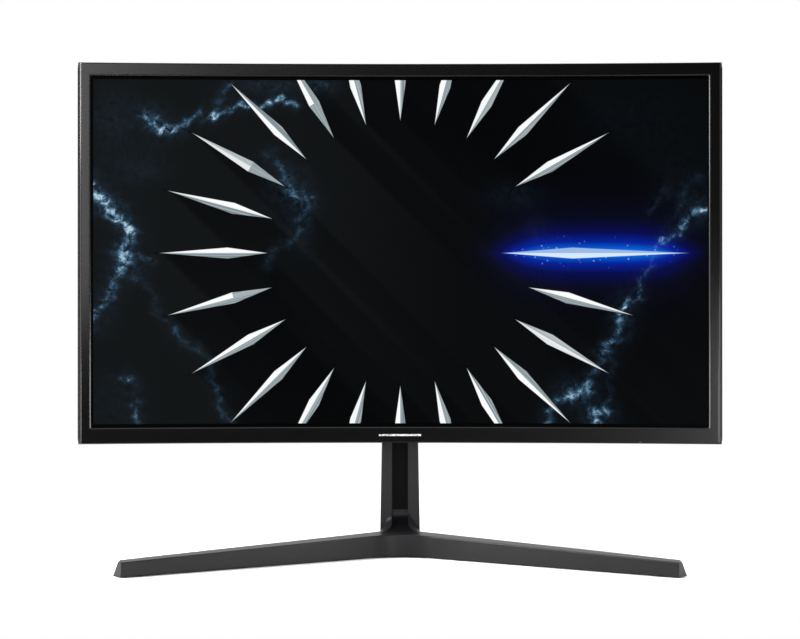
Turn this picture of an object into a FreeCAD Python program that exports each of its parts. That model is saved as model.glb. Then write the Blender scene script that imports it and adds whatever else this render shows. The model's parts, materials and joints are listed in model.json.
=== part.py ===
"""A curved desk monitor on a wide V foot, as a parametric FreeCAD document.

Millimetres, +Z up, the screen faces -Y and +X is to the right as seen from the front. The origin is under
the middle of the whole object's box, on the desk. Every driving size is a cell of the sheet Sizes, and each
sub-part below is bound to those cells by expressions.
"""

import FreeCAD, Part
import math
import os
import re

import Sketcher
from FreeCAD import Placement, Rotation, Vector

SIZES = {
    # display head
    "head_width": 547.8, "head_height": 325.3, "head_low": 97.5, "head_mid": 260.15,
    "screen_y": 40, "curve_rad": 1800,
    "bezel_side": 1.8, "bezel_edge": 0.8, "bezel_depth": 6, "bezel_lip": 1.8, "bezel_wall": 2.2,
    "bezel_break": 1.5,
    "open_width": 524.1, "open_low": 112.1, "open_height": 298.8,
    "cell_width": 530, "cell_low": 109.5, "cell_height": 304, "cell_thick": 1.4,
    "film_thick": 0.9, "guide_thick": 2, "sheet_thick": 0.3, "pan_thick": 0.8, "pan_back": 8.4,
    "stack_gap": 0.1, "frame_wall": 2, "led_height": 3, "led_thick": 1.6,
    # rear cover
    "cover_front": 6, "cover_back": 20.5, "cover_wall": 2.5, "cover_break": 5,
    "bulge_half": 150, "bulge_low": 142, "bulge_high": 372, "bulge_start": 48,
    "bulge_round": 9, "back_round": 3,
    "back_half": 116, "back_low": 185, "back_high": 335, "back_y": 100,
    "channel_half": 26, "channel_floor": 76, "channel_top": 284,
    "bay_left": 56, "bay_right": 110, "bay_low": 208, "bay_high": 246, "bay_floor": 84,
    "vent_width": 2.4, "vent_length": 26, "vent_pitch": 6, "vent_count": 24,
    # mounting frame, hinge and its bracket
    "mount_half": 37.5, "mount_hole": 2, "mount_boss": 4, "frame_half_z": 54, "frame_in": 29,
    "frame_out": 46, "frame_sheet": 2, "frame_front": 50,
    "hinge_y": 100, "hinge_z": 252, "shaft_rad": 4, "shaft_half": 22.6, "bush_bore": 4.05, "bush_rad": 6,
    "bush_flange": 7, "barrel_rad": 11, "barrel_half": 10, "ear_in": 13.3, "ear_thick": 2.8,
    "ear_rad": 9, "bracket_thick": 2.9, "bracket_half": 24, "bracket_low": 231, "bracket_high": 273,
    "washer_thick": 1.4, "washer_rad": 7.4, "nut_thick": 4, "nut_rad": 7,
    # neck
    "neck_front": 83.1, "neck_split": 101, "neck_back": 119, "neck_low": 12, "neck_half_low": 17.45,
    "neck_half_high": 12.7, "neck_wall": 2.2, "neck_round": 18, "slot_half": 7, "slot_low": 37.8,
    "slot_high": 228, "strip_floor": 87, "strip_wall": 1.4,
    "core_half": 10, "core_front": 90, "core_back": 112, "core_wall": 2.2, "core_top": 246,
    # foot
    "foot_top": 19.9, "tip_top": 12.6, "foot_bottom": 1, "apex_y": 52.3, "apex_round": 47.6,
    "tip_x": 223.2, "tip_y": -122, "side_x": 230.5, "side_y": -113.5, "heel_x": 229.5, "heel_y": -101,
    "root_y": 75, "tail_half": 17.4, "tail_y": 122, "tail_round": 6, "root_round": 12, "end_lean": 4.5,
    "foot_round": 0.9, "foot_hollow": 9.4, "foot_wall": 3, "plate_low": 3.6, "plate_thick": 3,
    "flare_front": 60, "flare_half": 17.2, "tail_top": 12,
    "pad_rad": 6, "foot_screw_rad": 1.4, "boss_rad": 3.4,
    "screw_y": 101, "thumb_rad": 11, "thumb_shank": 2.95, "flange_bore": 3,
    "ring_y": 95, "ring_z": 1.8, "ring_rad": 6.5, "ring_wire": 0.6,
    # badge bar and the rear cover's screws
    "badge_proud": 0.3, "badge_width": 36, "badge_low": 104, "badge_height": 1.6,
    "cover_screw_z": 128, "cover_screw_rad": 1.5,
    # five-way stick behind the lower right corner
    "jog_x": 205, "jog_z": 112, "jog_y": 45.5, "jog_hole": 8, "jog_rad": 6.8, "jog_stem": 1.8,
}

doc = FreeCAD.newDocument("Monitor")
sheet = doc.addObject("Spreadsheet::Sheet", "Sizes")
for line, (alias, size) in enumerate(SIZES.items(), start=1):
    sheet.set(f"A{line}", alias)
    sheet.set(f"B{line}", str(size))
    sheet.setAlias(f"B{line}", alias)
doc.recompute()

NODES = {}


def cells(text):
    """The expression text with every size's name turned into its cell of the sheet."""
    return re.sub(r"[a-z]\w*", lambda m: f"Sizes.{m.group()}" if m.group() in SIZES else m.group(), str(text))


def number(text):
    """What an expression over the sheet's cells comes to now."""
    return float(sheet.evalExpression(cells(text)))


def node(name, thing):
    """Names a finished sub-part: its label is its file's name."""
    thing.Label = name
    NODES[name] = thing
    return thing


# ---------------------------------------------------------------- sketches and Part Design features

def new_body(name):
    return doc.addObject("PartDesign::Body", name)


def sketch_on(body, plane, at="0"):
    """An empty sketch on an origin plane of the body, moved along the plane's normal to at.

    The XZ plane's normal is -Y, so a sketch at y = d has at = -d.
    """
    sketch = body.newObject("Sketcher::SketchObject", body.Name + "Sketch")
    support = next(item for item in body.Origin.OriginFeatures if item.Role == plane)
    sketch.AttachmentSupport = (support, "")
    sketch.MapMode = "FlatFace"
    sketch.setExpression(".AttachmentOffset.Base.z", cells(at))
    return sketch


def hold(sketch, kind, where, text):
    """One dimension of a sketch bound to an expression; a zero ordinate lies on the axis instead."""
    value = number(text)
    if abs(value) < 1e-9 and kind in ("DistanceX", "DistanceY"):
        axis = -2 if kind == "DistanceX" else -1
        sketch.addConstraint(Sketcher.Constraint("PointOnObject", where[2], where[3], axis))
        return
    index = sketch.addConstraint(Sketcher.Constraint(kind, *where, value))
    sketch.setExpression(f"Constraints[{index}]", cells(text))


def outline(sketch, corners):
    """A closed outline of straight sides; each corner is an (across, up) pair of expressions."""
    first = sketch.GeometryCount
    places = [Vector(number(across), number(up), 0) for across, up in corners]
    count = len(corners)
    for i, place in enumerate(places):
        sketch.addGeometry(Part.LineSegment(place, places[(i + 1) % count]), False)
    for i in range(count):
        sketch.addConstraint(Sketcher.Constraint("Coincident", first + i, 2, first + (i + 1) % count, 1))
    for i, (across, up) in enumerate(corners):
        hold(sketch, "DistanceX", (-1, 1, first + i, 1), across)
        hold(sketch, "DistanceY", (-1, 1, first + i, 1), up)
    return sketch


def rectangle(sketch, left, right, low, high):
    return outline(sketch, [(left, low), (right, low), (right, high), (left, high)])


def circle(sketch, across, up, radius):
    index = sketch.addGeometry(Part.Circle(Vector(number(across), number(up), 0), Vector(0, 0, 1),
                                           number(radius)), False)
    hold(sketch, "DistanceX", (-1, 1, index, 3), across)
    hold(sketch, "DistanceY", (-1, 1, index, 3), up)
    radial = sketch.addConstraint(Sketcher.Constraint("Radius", index, number(radius)))
    sketch.setExpression(f"Constraints[{radial}]", cells(radius))
    return sketch


def curved_strip(sketch, front, back, width):
    """The plan of a curved layer: two arcs round the screen's centre of curvature and two straight ends.

    front and back are distances behind the screen's front surface.
    """
    centre_y = number("screen_y - curve_rad")
    centre = Vector(0, centre_y, 0)
    half = number(width) / 2
    ends = []
    for depth in (front, back):
        radius = number(f"curve_rad + ({depth})")
        lean = math.asin(half / radius)
        arc = Part.ArcOfCircle(Part.Circle(centre, Vector(0, 0, 1), radius), math.pi / 2 - lean,
                               math.pi / 2 + lean)
        sketch.addGeometry(arc, False)
        rise = centre_y + radius * math.cos(lean)
        ends.append((Vector(half, rise, 0), Vector(-half, rise, 0)))
    for side in (0, 1):
        sketch.addGeometry(Part.LineSegment(ends[0][side], ends[1][side]), False)
    rules = [("Coincident", 0, 3, 1, 3), ("PointOnObject", 0, 3, -2), ("Coincident", 2, 1, 0, 1),
             ("Coincident", 2, 2, 1, 1), ("Coincident", 3, 1, 0, 2), ("Coincident", 3, 2, 1, 2),
             ("Vertical", 2), ("Vertical", 3)]
    for rule in rules:
        sketch.addConstraint(Sketcher.Constraint(*rule))
    hold(sketch, "DistanceY", (-1, 1, 0, 3), "screen_y - curve_rad")
    hold(sketch, "DistanceX", (-1, 1, 0, 1), f"({width}) / 2")
    hold(sketch, "DistanceX", (0, 2, -1, 1), f"({width}) / 2")
    for index, depth in enumerate((front, back)):
        radial = sketch.addConstraint(Sketcher.Constraint("Radius", index, number(f"curve_rad + ({depth})")))
        sketch.setExpression(f"Constraints[{radial}]", cells(f"curve_rad + ({depth})"))
    return sketch


def extrude(body, kind, sketch, length=None, back=False, both=False):
    """A Pad or Pocket of a sketch; without a length a Pocket goes right through, both ways."""
    volume = body.Shape.Volume if body.Tip else 0
    feature = body.newObject(f"PartDesign::{kind}", body.Name + kind)
    feature.Profile = sketch
    if length is None:
        feature.Type = "ThroughAll"
        feature.SideType = "Symmetric"
    else:
        feature.setExpression("Length", cells(length))
        feature.Reversed = back
        if both:
            feature.SideType = "Symmetric"
    doc.recompute()
    changed = body.Shape.Volume - volume
    if (kind == "Pad") != (changed > 0) or abs(changed) < 1e-6:
        raise RuntimeError(f"{body.Name}: a {kind} changed the volume by {changed:.3f}")
    return feature


def pad(body, sketch, length, **way):
    return extrude(body, "Pad", sketch, length, **way)


def pocket(body, sketch, length=None, **way):
    return extrude(body, "Pocket", sketch, length, **way)


def loft(body, kind, first, last):
    """An AdditiveLoft or SubtractiveLoft between two sketches."""
    feature = body.newObject(f"PartDesign::{kind}Loft", body.Name + kind)
    feature.Profile = first
    feature.Sections = [last]
    feature.Ruled = True
    doc.recompute()
    return feature


def dress(body, kind, size, wanted):
    """A Fillet or Chamfer of the edges of the body's tip that wanted accepts."""
    base = body.Tip
    names = [f"Edge{i}" for i, edge in enumerate(base.Shape.Edges, start=1) if wanted(edge)]
    feature = body.newObject(f"PartDesign::{kind}", body.Name + kind)
    feature.Base = (base, names)
    feature.setExpression("Radius" if kind == "Fillet" else "Size", cells(size))
    doc.recompute()
    return feature


def upright_near(*places):
    """A test for straight vertical edges that stand within a millimetre of one of the (x, y) places."""
    def test(edge):
        box = edge.BoundBox
        if box.ZLength < 1 or box.XLength > 0.01 or box.YLength > 0.01:
            return False
        return any(math.hypot(box.XMin - x, box.YMin - y) < 1 for x, y in places)
    return test


# ---------------------------------------------------------------- Part primitives

def anchor(thing, place, axis=None):
    """Binds an object's position to three expressions and turns its own Z to an axis."""
    if axis is not None:
        thing.Placement = Placement(Vector(), Rotation(Vector(0, 0, 1), Vector(*axis)))
    for letter, text in zip("xyz", place):
        thing.setExpression(f".Placement.Base.{letter}", cells(text))
    return thing


def block(name, left, right, front, back, low, high):
    """A box between pairs of expressions along X, Y and Z."""
    box = doc.addObject("Part::Box", name)
    for side, (start, end) in zip(("Length", "Width", "Height"), ((left, right), (front, back), (low, high))):
        box.setExpression(side, cells(f"({end}) - ({start})"))
    return anchor(box, (left, front, low))


def rod(name, radius, length, place, axis=(0, 0, 1)):
    cylinder = doc.addObject("Part::Cylinder", name)
    cylinder.setExpression("Radius", cells(radius))
    cylinder.setExpression("Height", cells(length))
    return anchor(cylinder, place, axis)


def cut(name, base, *tools):
    """The base less every tool, one Part::Cut after another."""
    for index, tool in enumerate(tools):
        result = doc.addObject("Part::Cut", f"{name}_cut{index}")
        result.Base = base
        result.Tool = tool
        base = result
    return base


def joined(name, *pieces):
    fused = doc.addObject("Part::MultiFuse", f"{name}_joined")
    fused.Shapes = list(pieces)
    return fused


def group(name, pieces):
    """Separate equal pieces that share one node."""
    bundle = doc.addObject("Part::Compound", f"{name}_group")
    bundle.Links = list(pieces)
    return node(name, bundle)


def screw(name, place, axis, head_rad, head_thick, shank_rad, length):
    """A screw whose shank runs from place along axis and whose head lies behind place."""
    back = tuple(f"({text}) - ({head_thick}) * {part}" for text, part in zip(place, axis))
    head = rod(f"{name}_head", head_rad, head_thick, back, axis)
    shank = rod(f"{name}_shank", shank_rad, length, place, axis)
    return joined(name, head, shank)


# ---------------------------------------------------------------- the curved display stack

def curved_layer(name, front, thick, width, low, height):
    """One curved sheet of the display stack."""
    body = new_body(name)
    sketch = curved_strip(sketch_on(body, "XY_Plane", low), front, f"({front}) + ({thick})", width)
    pad(body, sketch, height)
    return node(name, body)


def make_front_bezel():
    """A ring with a thin lip over the panel's edge, a wall behind it and broken outer corners."""
    body = new_body("front_bezel")
    low, width = "head_low + bezel_edge", "head_width - 2 * bezel_side"
    height = "head_height - 2 * bezel_edge"
    pad(body, curved_strip(sketch_on(body, "XY_Plane", low), "0", "bezel_depth", width), height)
    half = number(width) / 2

    def front_upright(edge):
        box = edge.BoundBox
        return box.ZLength > 100 and abs(abs(box.XMin) - half) < 0.1 and box.YMax < number("screen_y - 20")

    dress(body, "Chamfer", "bezel_break", front_upright)
    recess = sketch_on(body, "XY_Plane", f"{low} + bezel_wall")
    curved_strip(recess, "bezel_lip", "bezel_depth + 4", f"{width} - 2 * bezel_wall")
    pocket(body, recess, f"{height} - 2 * bezel_wall", back=True)
    window = sketch_on(body, "XZ_Plane")
    rectangle(window, "-open_width / 2", "open_width / 2", "open_low", "open_low + open_height")
    pocket(body, window)
    lamp = sketch_on(body, "XZ_Plane")
    rectangle(lamp, "jog_x - 1.7", "jog_x + 1.7", "head_low + 1", "head_low + 2.8")
    pocket(body, lamp)
    return node("front_bezel", body)


def make_panel_frame():
    """A slim plastic ring that holds the films and the light guide round their edges."""
    body = new_body("panel_frame")
    front = "bezel_lip + cell_thick + stack_gap"
    strip = curved_strip(sketch_on(body, "XY_Plane", "cell_low"), front, "pan_back - stack_gap", "cell_width")
    pad(body, strip, "cell_height")
    window = sketch_on(body, "XZ_Plane")
    rectangle(window, "-cell_width / 2 + frame_wall", "cell_width / 2 - frame_wall", "cell_low + frame_wall",
              "cell_low + cell_height - frame_wall")
    pocket(body, window)
    return node("panel_frame", body)


def make_display_stack():
    """Panel, films, light guide, reflector, lamp bar and steel pan, from front to back."""
    inner_width = "cell_width - 2 * frame_wall - 1"
    low, height = "cell_low + frame_wall + 0.5", "cell_height - 2 * frame_wall - 1"
    films = "bezel_lip + cell_thick + 2 * stack_gap"
    guide = f"{films} + film_thick + stack_gap"
    mirror = f"{guide} + guide_thick + stack_gap"
    curved_layer("lcd_cell", "bezel_lip", "cell_thick", "cell_width", "cell_low", "cell_height")
    curved_layer("optical_films", films, "film_thick", inner_width, low, height)
    curved_layer("light_guide", guide, "guide_thick", inner_width, f"{low} + led_height + 0.5",
                 f"{height} - led_height - 0.5")
    curved_layer("reflector_sheet", mirror, "sheet_thick", inner_width, low, height)
    curved_layer("led_bar", guide, "led_thick", f"{inner_width} - 20", low, "led_height")
    curved_layer("backlight_pan", "pan_back", "pan_thick", "cell_width", "cell_low", "cell_height")


# ---------------------------------------------------------------- the rear cover

COVER_SCREWS = ("-225", "-175", "175", "225")


def cover_rear(x):
    """The depth of the tray's rear face at x: the screen's arc, flattened to its parabola, plus the tray."""
    return f"screen_y - ({x}) * ({x}) / (2 * curve_rad) + cover_back"


def bulge_rectangle(body, y, left, right, low, high):
    """A rectangle standing at depth y, for the bulge and its cavities."""
    return rectangle(sketch_on(body, "XZ_Plane", f"-({y})"), left, right, low, high)


def add_vents(body):
    """A row of upright slots through the back wall, above the mounting holes."""
    slot = sketch_on(body, "XZ_Plane", "-(back_y + 1)")
    start = "-(vent_count - 1) * vent_pitch / 2"
    rectangle(slot, f"{start} - vent_width / 2", f"{start} + vent_width / 2", "back_high - 4 - vent_length",
              "back_high - 4")
    first = pocket(body, slot, "cover_wall + 2", back=True)
    pattern = body.newObject("PartDesign::LinearPattern", "VentPattern")
    pattern.Originals = [first]
    pattern.Direction = (next(f for f in body.Origin.OriginFeatures if f.Role == "X_Axis"), [""])
    pattern.setExpression("Length", cells("(vent_count - 1) * vent_pitch"))
    pattern.Occurrences = int(number("vent_count"))
    body.Tip = pattern
    doc.recompute()


def make_rear_cover():
    """A curved tray with a tapered bulge, a channel for the neck, a port bay, vents and screw holes."""
    body = new_body("rear_cover")
    tray = curved_strip(sketch_on(body, "XY_Plane", "head_low"), "cover_front", "cover_back", "head_width")
    pad(body, tray, "head_height")
    rear = number("screen_y - 21 + cover_back")
    dress(body, "Chamfer", "cover_break",
          lambda e: e.BoundBox.YMax > rear - 1 and (e.BoundBox.ZLength < 0.01 and e.BoundBox.XLength > 500
                                                     or e.BoundBox.ZLength > 300))
    loft(body, "Additive", bulge_rectangle(body, "bulge_start", "-bulge_half", "bulge_half", "bulge_low",
                                           "bulge_high"),
         bulge_rectangle(body, "back_y", "-back_half", "back_half", "back_low", "back_high"))
    back = number("back_y")
    dress(body, "Fillet", "bulge_round", lambda e: e.BoundBox.YMax > back - 0.1 and e.BoundBox.YLength > 20)
    dress(body, "Fillet", "back_round", lambda e: e.BoundBox.YMin > back - 0.1)
    inner_front, inner_back = "bulge_start - 4", "back_y - cover_wall"
    wall = "cover_wall + 1"
    for side in ("-", ""):
        edge = f"{side}(channel_half + cover_wall)"
        wide = [edge, f"{side}(bulge_half - {wall})"]
        far = [edge, f"{side}(back_half - {wall})"]
        if side == "-":
            wide.reverse()
            far.reverse()
        loft(body, "Subtractive",
             bulge_rectangle(body, inner_front, *wide, f"bulge_low + {wall}", f"bulge_high - {wall}"),
             bulge_rectangle(body, inner_back, *far, f"back_low + {wall}", f"back_high - {wall}"))
    middle = "(channel_half + cover_wall + 0.5)"
    loft(body, "Subtractive",
         bulge_rectangle(body, inner_front, f"-{middle}", middle, "channel_top + cover_wall",
                         f"bulge_high - {wall}"),
         bulge_rectangle(body, inner_back, f"-{middle}", middle, "channel_top + cover_wall",
                         f"back_high - {wall}"))
    floor = bulge_rectangle(body, inner_front, f"-{middle}", middle, "back_low - 22", "channel_top + 6")
    pocket(body, floor, f"channel_floor - cover_wall - ({inner_front})")
    trough = bulge_rectangle(body, "channel_floor", "-channel_half", "channel_half", "bulge_low - 20",
                             "channel_top")
    pocket(body, trough, "60")
    hollow = sketch_on(body, "XY_Plane", "head_low + cover_wall")
    curved_strip(hollow, "cover_front - 3", "cover_back - cover_wall", "head_width - 2 * cover_wall")
    pocket(body, hollow, "head_height - 2 * cover_wall", back=True)
    bay = bulge_rectangle(body, "bay_floor", "bay_left - 2", "bay_right + 2", "bay_low - 2", "bay_high + 2")
    pad(body, bay, "back_y - bay_floor - 1", back=True)
    mouth = bulge_rectangle(body, "bay_floor - 1", "bay_left", "bay_right", "bay_low", "bay_high")
    pocket(body, mouth, "40")
    holes = sketch_on(body, "XZ_Plane", "-(back_y + 1)")
    for x in ("-mount_half", "mount_half"):
        for z in ("head_mid - mount_half", "head_mid + mount_half"):
            circle(holes, x, z, "mount_boss + 0.2")
    pocket(body, holes, "8", back=True)
    seats = sketch_on(body, "XZ_Plane", "-(channel_floor + 1)")
    for x in ("-20", "20"):
        for z in ("bracket_low + 6", "bracket_high - 6"):
            circle(seats, x, z, "2")
    pocket(body, seats, "5", back=True)
    through = sketch_on(body, "XZ_Plane", "-60")
    circle(through, "jog_x", "jog_z", "jog_hole")
    for x in COVER_SCREWS:
        circle(through, x, "cover_screw_z", "cover_screw_rad + 0.1")
    pocket(body, through, "24", back=True)
    lock = sketch_on(body, "XZ_Plane", "-(back_y + 1)")
    rectangle(lock, "-(back_half - 12)", "-(back_half - 19)", "back_low + 14", "back_low + 17")
    pocket(body, lock, "6", back=True)
    add_vents(body)
    return node("rear_cover", body)


def make_mounting_frame():
    """A folded steel frame behind the channel floor that carries the hinge bracket and the four M4 bosses."""
    body = new_body("mounting_frame")
    plan = sketch_on(body, "XY_Plane", "head_mid - frame_half_z")
    inner, outer, thick = "frame_in", "frame_out", "frame_sheet"
    web = f"{inner} + {thick}"
    back, wall = "(back_y - cover_wall - 0.1)", "(channel_floor - cover_wall - 0.1)"
    right = [(inner, f"{wall} - {thick}"), (inner, "frame_front"), (outer, "frame_front"),
             (outer, f"frame_front + {thick}"), (web, f"frame_front + {thick}"), (web, f"{back} - {thick}"),
             (outer, f"{back} - {thick}"), (outer, back), (inner, back), (inner, wall)]
    left = [(f"-({x})", y) for x, y in reversed(right)]
    outline(plan, right + left)
    pad(body, plan, "2 * frame_half_z")
    bosses = sketch_on(body, "XZ_Plane", f"-({back} - 1)")
    taps = sketch_on(body, "XZ_Plane", "-(back_y + 1)")
    for x in ("-mount_half", "mount_half"):
        for z in ("head_mid - mount_half", "head_mid + mount_half"):
            circle(bosses, x, z, "mount_boss")
            circle(taps, x, z, "mount_hole")
    pad(body, bosses, "cover_wall + 1.1", back=True)
    pocket(body, taps, "12", back=True)
    seats = sketch_on(body, "XZ_Plane", "-channel_floor")
    for x in ("-20", "20"):
        for z in ("bracket_low + 6", "bracket_high - 6"):
            circle(seats, x, z, "1.95")
    pocket(body, seats, "10", back=True)
    return node("mounting_frame", body)


# ---------------------------------------------------------------- boards and ports

PORTS = {"video_port_left": (66, 236, 15, 5.6), "video_port_right": (86, 236, 15, 5.6),
         "video_port_wide": (70, 218, 17, 5.8), "audio_jack": (87, 218, 8, 8),
         "power_jack": (100, 218, 11, 11)}


def make_ports():
    """Sockets that stand on the main board and look out of the bay, and the steel plate round them."""
    plate = block("plate_blank", "bay_left - 1.5", "bay_right + 1.5", "bay_floor - 1.1", "bay_floor - 0.1",
                  "bay_low - 1.5", "bay_high + 1.5")
    windows = []
    for name, (x, z, wide, tall) in PORTS.items():
        left, right, low, high = x - wide / 2, x + wide / 2, z - tall / 2, z + tall / 2
        front, mouth = "bay_floor - 12", "bay_floor + 1"
        windows.append(block(f"{name}_window", left - 0.2, right + 0.2, "bay_floor - 3", "bay_floor + 3",
                             low - 0.2, high + 0.2))
        shell = block(f"{name}_shell", left, right, front, mouth, low, high)
        if name.endswith("jack"):
            bore = 1.8 if name == "audio_jack" else 3
            socket = cut(name, shell, rod(f"{name}_bore", bore, 12, (x, "bay_floor - 10", z), (0, 1, 0)))
            if name == "power_jack":
                socket = joined(name, socket, rod("power_pin", 1, 10, (x, "bay_floor - 11", z), (0, 1, 0)))
        else:
            mouth_hole = block(f"{name}_hole", left + 0.5, right - 0.5, "bay_floor - 9", "bay_floor + 2",
                               low + 0.5, high - 0.5)
            tongue = block(f"{name}_tongue", left + 2, right - 2, "bay_floor - 10", "bay_floor", z - 0.5,
                           z + 0.7)
            socket = joined(name, cut(name, shell, mouth_hole), tongue)
        node(name, socket)
    node("port_plate", cut("port_plate", plate, *windows))


def make_boards():
    """The main board with its tray, parts and shield, the lamp driver board and the panel's feed strip."""
    for name, left, right in (("main_board", 52, 118), ("driver_board", -118, -52)):
        low, high = ("204", "304") if name == "main_board" else ("214", "294")
        node(name, block(name, left, right, "bay_floor - 13.6", "bay_floor - 12", low, high))
        tray = block(f"{name}_blank", left, right, "frame_front", "bay_floor - 20", low, high)
        inside = block(f"{name}_inside", left + 1, right - 1, "frame_front - 1", "bay_floor - 21",
                       f"{low} - 1", f"{high} + 1")
        posts = [rod(f"{name}_post{i}", 2.5, 6.4, (x, "bay_floor - 20", z), (0, 1, 0))
                 for i, (x, z) in enumerate((x, z) for x in (left + 5, right - 5)
                                            for z in (f"{low} + 5", f"{high} - 5"))]
        node(f"{name}_tray", joined(f"{name}_tray", cut(name, tray, inside), *posts))
    face = "bay_floor - 12"
    chips = [block("scaler_chip", 72, 88, face, f"{face} + 1.4", 262, 278),
             block("memory_chip", 94, 103, face, f"{face} + 1", 263, 277),
             block("flash_chip", 62, 67, face, f"{face} + 1.6", 266, 271)]
    group("board_chips", chips)
    can = block("can_blank", 56, 114, face, f"{face} + 7", 254, 292)
    room = block("can_room", 56.6, 113.4, f"{face} - 1", f"{face} + 6.4", 254.6, 291.4)
    node("board_shield", cut("board_shield", can, room))
    parts = [rod(f"coil{i}", 6, 8, (x, face, 232), (0, 1, 0)) for i, x in enumerate((-105, -88))]
    parts += [rod(f"capacitor{i}", 4, 11, (x, face, 262), (0, 1, 0)) for i, x in enumerate((-108, -96, -84))]
    parts.append(block("driver_chip", -76, -66, face, f"{face} + 1.5", 250, 260))
    group("driver_parts", parts)
    node("source_board", block("source_board", -120, 120, "frame_front + 2.2", "frame_front + 3.4", 118, 130))
    node("panel_cable", block("cable_run", 64, 84, "frame_front + 3.4", "frame_front + 3.8", 120, 203.5))


# ---------------------------------------------------------------- the tilt hinge

def make_hinge_bracket():
    """A steel plate on the channel floor with two ears that hold the shaft."""
    body = new_body("hinge_bracket")
    plate = rectangle(sketch_on(body, "XZ_Plane", "-channel_floor"), "-bracket_half", "bracket_half",
                      "bracket_low", "bracket_high")
    pad(body, plate, "bracket_thick", back=True)
    for side in ("-", ""):
        place = f"{side}(ear_in + ear_thick / 2)"
        ear = sketch_on(body, "YZ_Plane", place)
        rectangle(ear, "channel_floor + 1", "hinge_y", "hinge_z - ear_rad", "hinge_z + ear_rad")
        pad(body, ear, "ear_thick", both=True)
        tip = circle(sketch_on(body, "YZ_Plane", place), "hinge_y", "hinge_z", "ear_rad")
        pad(body, tip, "ear_thick", both=True)
    pocket(body, circle(sketch_on(body, "YZ_Plane"), "hinge_y", "hinge_z", "shaft_rad"))
    seats = sketch_on(body, "XZ_Plane")
    for x in ("-20", "20"):
        for z in ("bracket_low + 6", "bracket_high - 6"):
            circle(seats, x, z, "2")
    pocket(body, seats)
    return node("hinge_bracket", body)


def make_hinge_hardware():
    """Shaft, spring washers and nuts, which turn with the head, and the bushes, which stay in the neck."""
    axis = (1, 0, 0)
    shaft = rod("shaft_rod", "shaft_rad", "2 * shaft_half", ("-shaft_half", "hinge_y", "hinge_z"), axis)
    node("hinge_shaft", shaft)
    washers, nuts, bushes = [], [], []
    for side in ("-", ""):
        start = f"{side}(ear_in + ear_thick)" if side == "" else "-(ear_in + ear_thick + washer_thick)"
        place = (start, "hinge_y", "hinge_z")
        ring = rod("washer_blank", "washer_rad", "washer_thick", place, axis)
        washers.append(cut("washer", ring, rod("washer_hole", "shaft_rad", "washer_thick", place, axis)))
        far = "ear_in + ear_thick + washer_thick"
        place = (far if side == "" else f"-({far} + nut_thick)", "hinge_y", "hinge_z")
        hexagon = doc.addObject("Part::Prism", "nut_blank")
        hexagon.Polygon = 6
        hexagon.setExpression("Circumradius", cells("nut_rad"))
        hexagon.setExpression("Height", cells("nut_thick"))
        anchor(hexagon, place, axis)
        nuts.append(cut("nut", hexagon, rod("nut_hole", "shaft_rad", "nut_thick", place, axis)))
        inner, flange = "barrel_half - 5", "ear_in - 0.1"
        place = (inner if side == "" else "-barrel_half", "hinge_y", "hinge_z")
        sleeve = rod("bush_sleeve", "bush_rad", "5", place, axis)
        place = ("barrel_half" if side == "" else f"-({flange})", "hinge_y", "hinge_z")
        collar = rod("bush_collar", "bush_flange", f"{flange} - barrel_half", place, axis)
        hole = rod("bush_hole", "bush_bore", f"2 * ({flange})", (f"-({flange})", "hinge_y", "hinge_z"), axis)
        bushes.append(cut("bush", joined("bush", sleeve, collar), hole))
    group("hinge_washers", washers)
    group("hinge_nuts", nuts)
    group("hinge_bushes", bushes)
    bolts = [screw(f"bracket_bolt{i}", (x, "channel_floor + bracket_thick", z), (0, -1, 0), 3.2, 2, 1.9, 9)
             for i, (x, z) in enumerate((x, z) for x in (-20, 20)
                                        for z in ("bracket_low + 6", "bracket_high - 6"))]
    group("bracket_bolts", bolts)


# ---------------------------------------------------------------- the neck

def neck_section(body, z, front, back, half):
    return rectangle(sketch_on(body, "XY_Plane", z), f"-({half})", half, front, back)


def make_neck_cover(name, face, side):
    """Half of the tapered neck: a wall at face, open towards the split, rounded over the hinge.

    side is "" for the rear half and "-" for the front half, whose wall lies towards -Y.
    """
    body = new_body(name)
    inner = f"{face} - ({side}neck_wall)"
    rows = [("neck_split", face), ("neck_split", inner)]
    for kind, (split, wall), thin in (("Additive", rows[0], "0"), ("Subtractive", rows[1], "neck_wall")):
        front, back = (wall, split) if side else (split, wall)
        low = neck_section(body, "neck_low", front, back, f"neck_half_low - {thin}")
        high = neck_section(body, "hinge_z", front, back, f"neck_half_high - {thin}")
        loft(body, kind, low, high)
        dome = circle(sketch_on(body, "YZ_Plane"), "hinge_y", "hinge_z", f"neck_round - {thin}")
        extrude(body, "Pad" if kind == "Additive" else "Pocket", dome, f"2 * (neck_half_high - {thin})",
                both=True)
    rest = sketch_on(body, "YZ_Plane")
    far = "neck_split - 60" if side == "" else "neck_split + 60"
    left, right = (far, "neck_split") if side == "" else ("neck_split", far)
    rectangle(rest, left, right, "0", "400")
    pocket(body, rest)
    pocket(body, circle(sketch_on(body, "YZ_Plane"), "hinge_y", "hinge_z", "bush_flange + 0.3"))
    return node(name, body)


def make_neck_covers():
    """Front half with the long slot and its cut-away corners, and the plain rear half."""
    front = make_neck_cover("neck_front_cover", "neck_front", "-")
    slot = sketch_on(front, "XZ_Plane", "-neck_front + 2")
    rectangle(slot, "-slot_half - 0.1", "slot_half + 0.1", "neck_low - 1", "slot_high")
    pocket(front, slot, "8")
    rear = make_neck_cover("neck_rear_cover", "neck_back", "")
    holes = sketch_on(rear, "XZ_Plane", "-neck_back - 2")
    for z in ("40", "200"):
        circle(holes, "0", z, "1.8")
    pocket(rear, holes, "10", back=True)
    screws = [screw(f"neck_screw{i}", ("0", "neck_back", z), (0, -1, 0), 2.8, 1.6, 1.7, 9)
              for i, z in enumerate((40, 200))]
    group("neck_screws", screws)


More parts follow.
